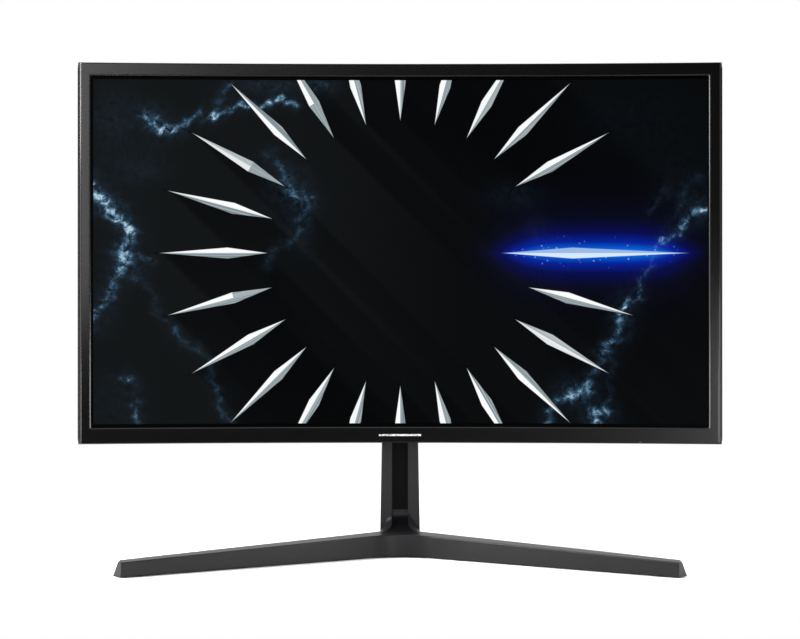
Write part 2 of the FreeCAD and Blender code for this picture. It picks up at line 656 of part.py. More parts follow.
def make_neck_strip():
    """The dark liner of the slot, a shallow U that opens to the front."""
    body = new_body("neck_strip")
    wall = "strip_wall"
    plan = sketch_on(body, "XY_Plane", "slot_low")
    outline(plan, [("-slot_half", "neck_front + 0.4"), (f"-slot_half + {wall}", "neck_front + 0.4"),
                   (f"-slot_half + {wall}", "strip_floor"), (f"slot_half - {wall}", "strip_floor"),
                   (f"slot_half - {wall}", "neck_front + 0.4"), ("slot_half", "neck_front + 0.4"),
                   ("slot_half", f"strip_floor + {wall}"), ("-slot_half", f"strip_floor + {wall}")])
    pad(body, plan, "slot_high - slot_low - 0.5")
    return node("neck_strip", body)


def make_neck_core():
    """A steel tube with a foot flange and a barrel that takes the hinge bushes."""
    body = new_body("neck_core")
    low = "plate_low + plate_thick + 0.1"
    pad(body, rectangle(sketch_on(body, "XY_Plane", low), "-core_half", "core_half", "core_front",
                        "core_back"), f"core_top - ({low})")
    pad(body, rectangle(sketch_on(body, "XY_Plane", low), "-14", "14", "86", "116"), "2.6")
    barrel = circle(sketch_on(body, "YZ_Plane"), "hinge_y", "hinge_z", "barrel_rad")
    pad(body, barrel, "2 * barrel_half", both=True)
    bore = sketch_on(body, "XY_Plane", "plate_low + plate_thick + 8")
    rectangle(bore, "-core_half + core_wall", "core_half - core_wall", "core_front + core_wall",
              "core_back - core_wall")
    pocket(body, bore, "hinge_z - 36", back=True)
    pocket(body, circle(sketch_on(body, "YZ_Plane"), "hinge_y", "hinge_z", "bush_rad"))
    pocket(body, circle(sketch_on(body, "XY_Plane"), "0", "screw_y", "flange_bore"), "16", back=True)
    holes = sketch_on(body, "XZ_Plane", "-core_back - 1")
    for z in ("40", "200"):
        circle(holes, "0", z, "1.7")
    pocket(body, holes, "5", back=True)
    return node("neck_core", body)


# ---------------------------------------------------------------- the foot

def foot_corners(inset="0"):
    """The V outline's corners in plan, the right half from the front apex to the tail, then the left half.

    inset moves every side in by about that much, for the hollow and the steel plate.
    """
    right = [("tip_x - 0.7 * ({0})", "tip_y + 1.9 * ({0})"), ("side_x - 2 * ({0})", "side_y + 0.4 * ({0})"),
             ("heel_x - 2 * ({0})", "heel_y + 0.3 * ({0})"), ("tail_half - ({0})", "root_y - 0.6 * ({0})"),
             ("tail_half - ({0})", "tail_y - ({0})")]
    right = [(x.format(inset), y.format(inset)) for x, y in right]
    left = [(f"-({x})", y) for x, y in reversed(right)]
    return [("0", f"apex_y + 1.27 * ({inset})")] + right + left


SCREW_SPOTS = [("150", "-44"), ("-150", "-44"), ("70", "20"), ("-70", "20"), ("207", "-92"), ("-207", "-92")]
PAD_SPOTS = [("213", "-102"), ("-213", "-102"), ("110", "-17"), ("-110", "-17"), ("0", "86"), ("0", "114")]


def make_foot_shell():
    """The cast foot: a V in plan that thins to its tips, hollow below, flared up to the neck at the root."""
    body = new_body("foot_shell")
    pad(body, outline(sketch_on(body, "XY_Plane", "foot_bottom"), foot_corners()), "foot_top - foot_bottom")
    dress(body, "Fillet", "apex_round", upright_near((0, number("apex_y"))))
    root = [(number(f"{s}tail_half"), number("root_y")) for s in ("-", "")]
    tail = [(number(f"{s}tail_half"), number("tail_y")) for s in ("-", "")]
    dress(body, "Fillet", "root_round", upright_near(*root))
    dress(body, "Fillet", "tail_round", upright_near(*tail))
    roof = sketch_on(body, "XZ_Plane")
    outline(roof, [("0", "foot_top"), ("side_x - end_lean", "tip_top"), ("side_x", "foot_bottom"),
                   ("side_x + 20", "foot_bottom"), ("side_x + 20", "foot_top + 20"),
                   ("-side_x - 20", "foot_top + 20"), ("-side_x - 20", "foot_bottom"),
                   ("-side_x", "foot_bottom"), ("-side_x + end_lean", "tip_top")])
    pocket(body, roof)
    tail_cut = sketch_on(body, "YZ_Plane")
    rectangle(tail_cut, "neck_front - 0.1", "tail_y + 10", "tail_top", "foot_top + 10")
    pocket(body, tail_cut)
    top = number("tip_top") - 1
    dress(body, "Fillet", "foot_round", lambda e: e.BoundBox.ZMin > top and e.BoundBox.XLength > 3
          and e.BoundBox.YMax < number("neck_front - 1"))
    hollow = outline(sketch_on(body, "XY_Plane"), foot_corners("foot_wall"))
    pocket(body, hollow, "foot_hollow", back=True)
    bosses = sketch_on(body, "XY_Plane", "plate_low + plate_thick")
    taps = sketch_on(body, "XY_Plane")
    for x, y in SCREW_SPOTS:
        circle(bosses, x, y, "boss_rad")
        circle(taps, x, y, "foot_screw_rad")
    pad(body, bosses, "foot_hollow - plate_low - plate_thick + 0.5")
    pocket(body, taps, "foot_hollow", back=True)
    throat = neck_section(body, "0", "core_front - 0.2", "core_back + 0.2", "core_half + 0.2")
    pocket(body, throat, "tail_top + 1", back=True)
    return node("foot_shell", body)


def make_root_cover():
    """The moulded cap that leads the foot's top up into the neck's slot, in ruled steps."""
    body = new_body("root_cover")
    steps = [("foot_top + 0.1", "flare_front", "flare_half"),
             ("foot_top + 2.4", "flare_front + 12", "flare_half - 2"),
             ("foot_top + 7", "flare_front + 18.5", "flare_half - 6"),
             ("slot_low", "neck_front - 1.5", "slot_half")]
    sections = [neck_section(body, z, front, "neck_front - 0.1", half) for z, front, half in steps]
    for lower, upper in zip(sections, sections[1:]):
        loft(body, "Additive", lower, upper)
    return node("root_cover", body)


def make_foot_plate():
    """The steel plate that closes the foot from below and gives it weight."""
    body = new_body("foot_plate")
    flat = outline(sketch_on(body, "XY_Plane", "plate_low"), foot_corners("foot_wall + 0.4"))
    pad(body, flat, "plate_thick")
    holes = sketch_on(body, "XY_Plane")
    for x, y in SCREW_SPOTS:
        circle(holes, x, y, "foot_screw_rad + 0.3")
    circle(holes, "0", "screw_y", "flange_bore + 0.3")
    pocket(body, holes, "20", back=True)
    return node("foot_plate", body)


def make_foot_hardware():
    """Rubber pads under the plate and the screws that hold it."""
    pads = [rod(f"pad{i}", "pad_rad" if i < 4 else "3", "plate_low", (x, y, "0"))
            for i, (x, y) in enumerate(PAD_SPOTS)]
    group("rubber_pads", pads)
    screws = [screw(f"foot_screw{i}", (x, y, "plate_low"), (0, 0, 1), 2.6, 1.4, 1.35, 5)
              for i, (x, y) in enumerate(SCREW_SPOTS)]
    group("foot_screws", screws)


def make_thumb_screw():
    """The screw that holds the neck to the foot, with two lugs for its folding wire ring."""
    head = rod("thumb_head", "thumb_rad - 2", "0.9", ("0", "screw_y", "plate_low - 1.0"))
    shank = rod("thumb_shaft", "thumb_shank", "8", ("0", "screw_y", "plate_low - 0.2"))
    lugs = []
    for start in (-4.6, 3):
        lug = block("lug", start, start + 1.6, "ring_y - 1", "ring_y + 1", "ring_z - 0.9", "plate_low - 0.9")
        lugs.append(cut("lug", lug, rod("lug_hole", "ring_wire + 0.06", 4, (start - 1, "ring_y", "ring_z"),
                                        (1, 0, 0))))
    node("thumb_screw", joined("thumb_screw", head, shank, *lugs))
    bar = rod("ring_bar", "ring_wire", "2 * ring_rad", ("-ring_rad", "ring_y", "ring_z"), (1, 0, 0))
    bow = doc.addObject("Part::Torus", "ring_bow")
    bow.setExpression("Radius1", cells("ring_rad"))
    bow.setExpression("Radius2", cells("ring_wire"))
    bow.Angle3 = 180
    anchor(bow, ("0", "ring_y", "ring_z"))
    node("screw_ring", joined("screw_ring", bar, bow))


# ---------------------------------------------------------------- stick, lamp, badge and small hardware

def make_jog():
    """The five-way stick: board, switch, gimbal ring, stem and the cap that shows behind the corner."""
    axis = (0, 1, 0)
    node("jog_board", block("jog_board", "jog_x - 14", "jog_x + 14", "jog_y - 5.5", "jog_y - 4.3",
                            "jog_z - 7", "jog_z + 7"))
    node("jog_switch", block("jog_switch", "jog_x - 4", "jog_x + 4", "jog_y - 4.3", "jog_y - 1.5",
                             "jog_z - 4", "jog_z + 4"))
    place = ("jog_x", "jog_y - 0.5", "jog_z")
    ring = rod("gimbal_blank", 5, 1, place, axis)
    node("jog_gimbal", cut("jog_gimbal", ring, rod("gimbal_hole", 3.2, 1, place, axis)))
    node("jog_stem", rod("jog_stem", "jog_stem", 4.2, ("jog_x", "jog_y - 0.8", "jog_z"), axis))
    cap = rod("cap_blank", "jog_rad", 6.5, ("jog_x", "jog_y + 2", "jog_z"), axis)
    bore = rod("cap_bore", "jog_stem + 0.06", 2.3, ("jog_x", "jog_y + 2", "jog_z"), axis)
    whole = cut("jog_cap", cap, bore)
    soft = doc.addObject("Part::Fillet", "cap_rounded")
    soft.Base = whole
    doc.recompute()
    rim = [i for i, edge in enumerate(whole.Shape.Edges, start=1)
           if edge.Curve.TypeId == "Part::GeomCircle" and edge.BoundBox.YMin > number("jog_y + 8")]
    soft.Edges = [(i, 1.2, 1.2) for i in rim]
    node("jog_cap", soft)


def make_trim():
    """The lamp's light pipe, the blank badge bar, the insulating foil and the screws of the cover."""
    node("power_lens", block("power_lens", "jog_x - 1.6", "jog_x + 1.6", "screen_y - 11.8", "screen_y - 6",
                             "head_low + 1.1", "head_low + 2.7"))
    curved_layer("badge_bar", "-badge_proud", "badge_proud", "badge_width", "badge_low", "badge_height")
    screws = [screw(f"cover_screw{i}", (x, f"{cover_rear(x)} + 0.6", "cover_screw_z"), (0, -1, 0), 2.9, 1.5,
                    "cover_screw_rad", 11) for i, x in enumerate(COVER_SCREWS)]
    group("cover_screws", screws)


def make_all():
    make_display_stack()
    make_panel_frame()
    make_front_bezel()
    make_rear_cover()
    make_mounting_frame()
    make_boards()
    make_ports()
    make_hinge_bracket()
    make_hinge_hardware()
    make_neck_covers()
    make_neck_strip()
    make_neck_core()
    make_foot_shell()
    make_root_cover()
    make_foot_plate()
    make_foot_hardware()
    make_thumb_screw()
    make_jog()
    make_trim()


def check_and_export():
    """Stops at any failed object or invalid shape, then writes one STEP file for each sub-part."""
    doc.recompute()
    failed = [thing.Name for thing in doc.Objects if {"Invalid", "Error"} & set(thing.State)]
    failed += [name for name, thing in NODES.items() if thing.Shape.isNull() or not thing.Shape.isValid()]
    if failed:
        raise RuntimeError(f"failed: {', '.join(failed)}")
    os.makedirs("parts", exist_ok=True)
    for name, thing in NODES.items():
        thing.Shape.exportStep(f"parts/{name}.step")
    print(len(NODES), "sub-parts written")


make_all()
check_and_export()
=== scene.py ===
import enum
import json
import logging
import math
from dataclasses import dataclass, field
from typing import Any

import bmesh
import bpy
import mathutils
import numpy as np
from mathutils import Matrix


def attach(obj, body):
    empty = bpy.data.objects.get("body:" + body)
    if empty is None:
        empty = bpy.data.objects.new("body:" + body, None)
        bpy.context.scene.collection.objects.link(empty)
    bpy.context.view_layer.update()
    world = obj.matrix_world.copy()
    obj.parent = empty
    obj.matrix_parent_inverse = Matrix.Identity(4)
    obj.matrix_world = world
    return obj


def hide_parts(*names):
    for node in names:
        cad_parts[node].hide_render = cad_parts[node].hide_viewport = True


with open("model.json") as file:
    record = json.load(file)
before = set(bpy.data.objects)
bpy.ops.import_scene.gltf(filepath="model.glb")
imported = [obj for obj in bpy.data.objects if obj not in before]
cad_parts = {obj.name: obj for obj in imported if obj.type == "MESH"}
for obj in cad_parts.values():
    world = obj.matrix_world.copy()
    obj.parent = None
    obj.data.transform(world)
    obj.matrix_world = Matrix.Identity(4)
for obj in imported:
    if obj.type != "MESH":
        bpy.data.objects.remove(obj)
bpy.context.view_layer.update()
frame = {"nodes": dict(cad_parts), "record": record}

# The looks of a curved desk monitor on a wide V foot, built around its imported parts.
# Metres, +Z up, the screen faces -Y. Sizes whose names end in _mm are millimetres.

MM = 0.001
MERGE = 1e-6  # points nearer than this are one point
LOG = logging.getLogger("monitor")


class Ride(enum.Enum):
    """The bodies that new pieces move with."""

    DISPLAY = "display"
    STAND = "stand"


# ---------------------------------------------------------------- helpers

def linear(hex_code: str) -> tuple[float, float, float, float]:
    """Turns an sRGB hex colour into a linear RGBA one.

    Args:
        hex_code: Six hex digits, such as "1a1b1c".
    Returns:
        Linear red, green, blue and an alpha of one.
    """
    parts = [int(hex_code[i:i + 2], 16) / 255 for i in (0, 2, 4)]
    red, green, blue = (p / 12.92 if p <= 0.04045 else ((p + 0.055) / 1.055) ** 2.4 for p in parts)
    return red, green, blue, 1.0


def scaled(colour: tuple[float, ...], factor: float) -> tuple[float, float, float, float]:
    """A linear colour made brighter or darker by a factor, alpha kept at one."""
    return colour[0] * factor, colour[1] * factor, colour[2] * factor, 1.0


class Graph:
    """The node tree of a material or a world while it is being built."""

    def __init__(self, owner: bpy.types.Material | bpy.types.World) -> None:
        """Empties the owner's tree."""
        owner.use_nodes = True
        self.owner = owner
        self.tree = owner.node_tree
        self.tree.nodes.clear()

    def add(self, kind: str, inputs: dict[int | str, Any] | None = None, output: int | str = 0,
            stops: tuple[tuple[float, Any], ...] = (), **settings: Any) -> bpy.types.NodeSocket | None:
        """Adds a node with its settings, values and links.

        Args:
            kind: The node's type without its ShaderNode prefix.
            inputs: For each input, a socket to link from or a value to set.
            output: Which output to hand back.
            stops: Places and hex or linear colours of a band of colours, its two ends first.
            **settings: The node's own properties.
        Returns:
            The chosen output socket, or None for a node that has none.
        """
        node = self.tree.nodes.new(f"ShaderNode{kind}")
        for key, value in settings.items():
            setattr(node, key, value)
        for key, value in (inputs or {}).items():
            if isinstance(value, bpy.types.NodeSocket):
                self.tree.links.new(value, node.inputs[key])
            else:
                node.inputs[key].default_value = value
        for i, (at, shade) in enumerate(stops):
            stop = node.color_ramp.elements[i] if i < 2 else node.color_ramp.elements.new(at)
            stop.position = at
            stop.color = linear(shade) if isinstance(shade, str) else shade
        return node.outputs[output] if len(node.outputs) else None

    def close(self, surface: bpy.types.NodeSocket) -> bpy.types.Material:
        """Ends a material's tree in its surface and hands the material back."""
        self.add("OutputMaterial", {"Surface": surface})
        return self.owner


# ---------------------------------------------------------------- finishes

@dataclass(frozen=True)
class Moulded:
    """Moulded or painted plastic, resin or rubber.

    A fine grain from the mould's etched face breaks up the highlight, and slow changes of tone over some
    tens of millimetres keep a large face from looking flat.
    """

    name: str
    colour: str
    roughness: float = 0.42
    gloss: float = 0.4
    grain_mm: float = 0.5
    depth_mm: float = 0.012
    mottle: float = 0.10

    def build(self) -> bpy.types.Material:
        """Makes the material: noise at the grain's width drives bump and roughness, a slow one the tone."""
        graph = Graph(bpy.data.materials.new(self.name))
        place = graph.add("TexCoord", output="Object")
        grain = graph.add("TexNoise", {"Vector": place, "Scale": 1000 / self.grain_mm, "Detail": 2.0})
        slow = graph.add("TexNoise", {"Vector": place, "Scale": 28.0, "Detail": 3.0})
        both = graph.add("Math", {0: grain, 1: slow}, operation="ADD")
        half = graph.add("Math", {0: both, 1: 0.5}, operation="MULTIPLY")
        base = linear(self.colour)
        tone = graph.add("ValToRGB", {"Fac": half}, stops=[(0.3, scaled(base, 1 - 2 * self.mottle)),
                                                           (0.7, scaled(base, 1 + 2 * self.mottle))])
        rough = graph.add("MapRange", {"Value": grain, "From Min": 0.3, "From Max": 0.7,
                                       "To Min": self.roughness * 0.88, "To Max": self.roughness * 1.14})
        bump = graph.add("Bump", {"Height": grain, "Distance": self.depth_mm * MM, "Strength": 0.6})
        surface = graph.add("BsdfPrincipled", {"Base Color": tone, "Roughness": rough, "Normal": bump,
                                               "Specular IOR Level": self.gloss})
        return graph.close(surface)


@dataclass(frozen=True)
class Plated:
    """Plated, turned or rolled metal, with crystals of zinc or the fine lines of the tool."""

    name: str
    colour: str
    roughness: float = 0.32
    crystal_mm: float = 6.0
    line_mm: float = 0.4
    stretch: tuple[float, float, float] = (1.0, 1.0, 0.06)
    depth_mm: float = 0.01

    def build(self) -> bpy.types.Material:
        """Makes the material: cell colours give crystals, and noise stretched along one way gives lines."""
        graph = Graph(bpy.data.materials.new(self.name))
        place = graph.add("TexCoord", output="Object")
        cells = graph.add("TexVoronoi", {"Vector": place, "Scale": 1000 / self.crystal_mm}, output="Color")
        along = graph.add("Mapping", {"Vector": place, "Scale": self.stretch})
        lines = graph.add("TexNoise", {"Vector": along, "Scale": 1000 / self.line_mm, "Detail": 1.0})
        grey = graph.add("RGBToBW", {"Color": cells})
        mixed = graph.add("Math", {0: grey, 1: lines}, operation="ADD")
        half = graph.add("Math", {0: mixed, 1: 0.5}, operation="MULTIPLY")
        base = linear(self.colour)
        tone = graph.add("ValToRGB", {"Fac": half}, stops=[(0.25, scaled(base, 0.8)),
                                                           (0.75, scaled(base, 1.12))])
        rough = graph.add("MapRange", {"Value": half, "From Min": 0.25, "From Max": 0.75,
                                       "To Min": self.roughness - 0.08, "To Max": self.roughness + 0.1})
        bump = graph.add("Bump", {"Height": lines, "Distance": self.depth_mm * MM, "Strength": 0.5})
        surface = graph.add("BsdfPrincipled", {"Base Color": tone, "Roughness": rough, "Normal": bump,
                                               "Metallic": 1.0})
        return graph.close(surface)


@dataclass(frozen=True)
class BoardMask:
    """Green solder mask over copper: paler lines where tracks run below it, and glossy all over."""

    name: str
    mask: str
    track: str
    pitch_mm: float = 2.4

    def build(self) -> bpy.types.Material:
        """Makes the material: bricks on the board's plane stand for tracks, their joints for the gaps."""
        graph = Graph(bpy.data.materials.new(self.name))
        place = graph.add("TexCoord", output="Object")
        turned = graph.add("Mapping", {"Vector": place, "Rotation": (math.pi / 2, 0, 0)})
        mask, track = linear(self.mask), linear(self.track)
        tracks = graph.add("TexBrick", {"Vector": turned, "Color1": track, "Color2": mask, "Mortar": mask,
                                        "Scale": 1000 / self.pitch_mm / 4, "Mortar Size": 0.03,
                                        "Bias": 0.1})
        dust = graph.add("TexNoise", {"Vector": place, "Scale": 260.0})
        rough = graph.add("MapRange", {"Value": dust, "To Min": 0.22, "To Max": 0.4})
        surface = graph.add("BsdfPrincipled", {"Base Color": tracks, "Roughness": rough})
        return graph.close(surface)


@dataclass(frozen=True)
class Sheet:
    """Film, clear sheet, ribbon or light pipe: smooth plastic with faint lines across it."""

    name: str
    colour: str
    roughness: float = 0.3
    clear: float = 0.0
    glow: float = 0.0
    line_mm: float = 1.2

    def build(self) -> bpy.types.Material:
        """Makes the material: a wave at the line pitch shades the colour by a few percent."""
        graph = Graph(bpy.data.materials.new(self.name))
        place = graph.add("TexCoord", output="Object")
        lines = graph.add("TexWave", {"Vector": place, "Scale": 1000 / self.line_mm / 6, "Distortion": 0.4})
        haze = graph.add("TexNoise", {"Vector": place, "Scale": 90.0, "Detail": 2.0})
        base = linear(self.colour)
        tone = graph.add("ValToRGB", {"Fac": lines}, stops=[(0.0, scaled(base, 0.93)),
                                                            (1.0, scaled(base, 1.04))])
        rough = graph.add("MapRange", {"Value": haze, "To Min": self.roughness - 0.05,
                                       "To Max": self.roughness + 0.1})
        surface = graph.add("BsdfPrincipled", {"Base Color": tone, "Roughness": rough,
                                               "Transmission Weight": self.clear, "Emission Color": base,
                                               "Emission Strength": self.glow})
        return graph.close(surface)


@dataclass(frozen=True)
class MarblePicture:
    """What the lit panel shows: dark stone with pale veins, a ring of bright facets and one blue flare.

    The veins, shadows and glow are painted on the panel's points by PicturePanel; the ring's edges are
    worked out here, so that they stay sharp at any distance.
    """

    name: str = "lit panel with an anti-glare coat"
    centre: tuple[float, float] = (0.0003, 0.2604)
    inner_mm: float = 114.0
    widest_mm: float = 147.5
    outer_mm: float = 204.0
    half_mm: float = 4.7
    flare_inner_mm: float = 88.0
    flare_widest_mm: float = 147.0
    flare_outer_mm: float = 243.0
    count: int = 24
    empty_spoke: int = 1
    light_angle: float = math.radians(153.0)
    lit_half_mm: tuple[float, float] = (260.7, 146.65)
    lit_shift_mm: float = 1.1

    def polar(self, graph: Graph, axes: bpy.types.NodeSocket) -> tuple[bpy.types.NodeSocket, ...]:
        """Folds the plane into equal sectors round the ring's centre.

        The bearing is rounded to the nearest sector's, and what is left over is turned back into a distance
        along the sector's axis and one across it.

        Args:
            graph: The tree being built.
            axes: The place on the panel in millimetres, x across and z up.
        Returns:
            The sector's number, the distance along its axis and the distance across it.
        """
        split = graph.add("SeparateXYZ", {"Vector": axes}).node.outputs
        bearing = graph.add("Math", {0: split["Z"], 1: split["X"]}, operation="ARCTAN2")
        turns = graph.add("Math", {0: bearing, 1: self.count / math.tau}, operation="MULTIPLY")
        sector = graph.add("Math", {0: turns}, operation="ROUND")
        left = graph.add("Math", {0: turns, 1: sector}, operation="SUBTRACT")
        angle = graph.add("Math", {0: left, 1: math.tau / self.count}, operation="MULTIPLY")
        flat = graph.add("CombineXYZ", {"X": split["X"], "Y": split["Z"]})
        reach = graph.add("VectorMath", {0: flat}, output="Value", operation="LENGTH")
        cosine = graph.add("Math", {0: angle}, operation="COSINE")
        sine = graph.add("Math", {0: angle}, operation="SINE")
        along = graph.add("Math", {0: reach, 1: cosine}, operation="MULTIPLY")
        across = graph.add("Math", {0: reach, 1: sine}, operation="MULTIPLY")
        return sector, along, across

    def facets(self, graph: Graph, axes: bpy.types.NodeSocket) -> tuple[bpy.types.NodeSocket, ...]:
        """Draws the ring of long lozenges.

        A lozenge's half-width rises evenly from its inner tip to its widest place and falls evenly to its
        outer tip. Its two long halves are lit by how far each half's side faces the light's bearing.

        Args:
            graph: The tree being built.
            axes: The place on the panel in millimetres.
        Returns:
            The lozenges' colour, their cover from 0 to 1, and a dark rim's cover round them.
        """
        sector, along, across = self.polar(graph, axes)
        flare = graph.add("Math", {0: sector, 1: 0.0, 2: 0.1}, operation="COMPARE")
        inner, widest, outer = (
            graph.add("MapRange", {"Value": flare, "To Min": usual, "To Max": flared})
            for usual, flared in ((self.inner_mm, self.flare_inner_mm),
                                  (self.widest_mm, self.flare_widest_mm),
                                  (self.outer_mm, self.flare_outer_mm)))
        rise = graph.add("MapRange", {"Value": along, "From Min": inner, "From Max": widest}, clamp=False)
        fall = graph.add("MapRange", {"Value": along, "From Min": outer, "From Max": widest}, clamp=False)
        lower = graph.add("Math", {0: rise, 1: fall}, operation="MINIMUM")
        half = graph.add("Math", {0: lower, 1: self.half_mm}, operation="MULTIPLY")
        off = graph.add("Math", {0: across}, operation="ABSOLUTE")
        above = graph.add("Math", {0: half, 1: off}, operation="SUBTRACT")
        missing = graph.add("Math", {0: sector, 1: float(self.empty_spoke), 2: 0.1}, operation="COMPARE")
        edge = graph.add("Math", {0: missing, 1: -100.0, 2: above}, operation="MULTIPLY_ADD")
        cover = graph.add("MapRange", {"Value": edge, "From Min": -0.2, "From Max": 0.3})
        dark = graph.add("MapRange", {"Value": flare, "To Min": 1.0, "To Max": 0.0})
        rim = graph.add("MapRange", {"Value": edge, "From Min": -1.1, "From Max": -0.2, "To Max": dark})
        # light on each long half
        bearing = graph.add("Math", {0: sector, 1: -math.tau / self.count, 2: self.light_angle},
                            operation="MULTIPLY_ADD")
        facing = graph.add("Math", {0: bearing}, operation="SINE")
        side = graph.add("Math", {0: across}, operation="SIGN")
        lit = graph.add("Math", {0: facing, 1: side}, operation="MULTIPLY")
        # some lozenges swap their tones past the widest place
        dice = graph.add("TexWhiteNoise", {"W": sector}, noise_dimensions="1D")
        odd = graph.add("Math", {0: dice, 1: 0.62}, operation="GREATER_THAN")
        past = graph.add("Math", {0: along, 1: widest}, operation="LESS_THAN")
        swap = graph.add("Math", {0: odd, 1: past}, operation="MULTIPLY")
        swung = graph.add("Math", {0: swap, 1: -0.75, 2: lit}, operation="MULTIPLY_ADD")
        tone = graph.add("MapRange", {"Value": swung, "From Min": -0.10, "From Max": 0.10})
        # fine combed lines run along the dull halves
        comb_at = graph.add("CombineXYZ", {"X": across, "Y": sector})
        comb = graph.add("TexNoise", {"Vector": comb_at, "Scale": 1.6, "Detail": 0.0})
        dull = graph.add("ValToRGB", {"Fac": comb}, stops=[(0.35, "77888f"), (0.6, "a9b3b6")])
        bright = graph.add("ValToRGB", {"Fac": comb}, stops=[(0.3, "e9f1f4"), (0.5, "ffffff")])
        metal = graph.add("Mix", {0: tone, 6: dull, 7: bright}, output=2, data_type="RGBA")
        blaze = graph.add("ValToRGB", {"Fac": tone}, stops=[(0.0, "d5eaff"), (1.0, "9db9e6")])
        colour = graph.add("Mix", {0: flare, 6: metal, 7: blaze}, output=2, data_type="RGBA")
        return colour, cover, rim

    def stone(self, graph: Graph, axes: bpy.types.NodeSocket) -> bpy.types.NodeSocket:
        """Colours the dark stone, its veins and the flare's glow from the panel's painted attribute.

        Red holds how strong a vein is, green how lit the stone is and blue how near the glow is.
        Fine ridged noise frays the veins, and small cells scatter sparks in the glow.

        Args:
            graph: The tree being built.
            axes: The place on the panel in millimetres.
        Returns:
            The stone's colour.
        """
        painted = graph.add("Attribute", attribute_name="backdrop")
        parts = graph.add("SeparateColor", {"Color": painted}).node.outputs
        fray = graph.add("TexNoise", {"Vector": axes, "Scale": 0.16, "Detail": 9.0, "Roughness": 0.72,
                                      "Distortion": 0.6})
        ridge = graph.add("MapRange", {"Value": fray, "From Min": 0.36, "From Max": 0.66,
                                       "To Min": 0.16, "To Max": 1.30}, clamp=True)
        vein = graph.add("Math", {0: parts["Red"], 1: ridge}, operation="MULTIPLY")
        veins = graph.add("ValToRGB", {"Fac": vein}, stops=[
            (0.0, "000000"), (0.95, "b4cede"), (0.2, "0b1620"), (0.42, "21394d"), (0.7, "5b7f98")])
        ground = graph.add("ValToRGB", {"Fac": parts["Green"]}, stops=[(0.0, "010203"), (1.0, "0f1213")])
        glow = graph.add("ValToRGB", {"Fac": parts["Blue"]}, stops=[
            (0.0, "000000"), (1.0, "38a4ff"), (0.1, "03031a"), (0.26, "02064c"), (0.5, "00209a"),
            (0.78, "0060d2")])
        cells = graph.add("TexVoronoi", {"Vector": axes, "Scale": 0.21})
        spark = graph.add("MapRange", {"Value": cells, "From Min": 0.2, "From Max": 0.08})
        thin = graph.add("TexNoise", {"Vector": axes, "Scale": 0.09})
        few = graph.add("MapRange", {"Value": thin, "From Min": 0.44, "From Max": 0.54})
        near = graph.add("MapRange", {"Value": parts["Blue"], "From Min": 0.3, "From Max": 0.75})
        some = graph.add("Math", {0: spark, 1: few}, operation="MULTIPLY")
        sparks = graph.add("Math", {0: some, 1: near}, operation="MULTIPLY")
        sum_a = graph.add("Mix", {0: 1.0, 6: ground, 7: veins}, output=2, data_type="RGBA", blend_type="ADD")
        sum_b = graph.add("Mix", {0: 1.0, 6: sum_a, 7: glow}, output=2, data_type="RGBA", blend_type="ADD")
        return graph.add("Mix", {0: sparks, 6: sum_b, 7: linear("9fb4ff")}, output=2, data_type="RGBA")

    def build(self) -> bpy.types.Material:
        """Makes the lit panel: the picture glows through a matt coat, inside a thin unlit black border."""
        graph = Graph(bpy.data.materials.new(self.name))
        place = graph.add("TexCoord", output="Object")
        axes = graph.add("Mapping", {"Vector": place, "Scale": (1000, 1000, 1000),
                                     "Location": (-self.centre[0] * 1000, 0, -self.centre[1] * 1000)})
        colour, cover, rim = self.facets(graph, axes)
        stone = self.stone(graph, axes)
        black = (0.0, 0.0, 0.0, 1.0)
        ringed = graph.add("Mix", {0: rim, 6: stone, 7: black}, output=2, data_type="RGBA")
        picture = graph.add("Mix", {0: cover, 6: ringed, 7: colour}, output=2, data_type="RGBA")
        split = graph.add("SeparateXYZ", {"Vector": axes}).node.outputs
        wide = graph.add("Math", {0: split["X"]}, operation="ABSOLUTE")
        high = graph.add("Math", {0: split["Z"], 1: self.lit_shift_mm}, operation="SUBTRACT")
        tall = graph.add("Math", {0: high}, operation="ABSOLUTE")
        in_x = graph.add("Math", {0: wide, 1: self.lit_half_mm[0]}, operation="LESS_THAN")
        in_z = graph.add("Math", {0: tall, 1: self.lit_half_mm[1]}, operation="LESS_THAN")
        lit = graph.add("Math", {0: in_x, 1: in_z}, operation="MULTIPLY")
        shown = graph.add("Mix", {0: lit, 6: black, 7: picture}, output=2, data_type="RGBA")
        surface = graph.add("BsdfPrincipled", {"Base Color": linear("010101"), "Roughness": 0.38,
                                               "Specular IOR Level": 0.01, "Emission Color": shown,
                                               "Emission Strength": 1.0})
        return graph.close(surface)


@dataclass(frozen=True)
class PaleFloor:
    """A pale seamless studio floor, matt, with a very faint unevenness so that it isn't one flat tone."""

    name: str = "pale studio floor"
    colour: str = "f4f4f4"

    def build(self) -> bpy.types.Material:
        """Makes the material from slow noise of half a metre."""
        graph = Graph(bpy.data.materials.new(self.name))
        place = graph.add("TexCoord", output="Object")
        slow = graph.add("TexNoise", {"Vector": place, "Scale": 2.0})
        base = linear(self.colour)
        tone = graph.add("ValToRGB", {"Fac": slow}, stops=[(0.3, scaled(base, 0.985)), (0.7, base)])
        surface = graph.add("BsdfPrincipled", {"Base Color": tone, "Roughness": 0.9,
                                               "Specular IOR Level": 0.1})
        return graph.close(surface)


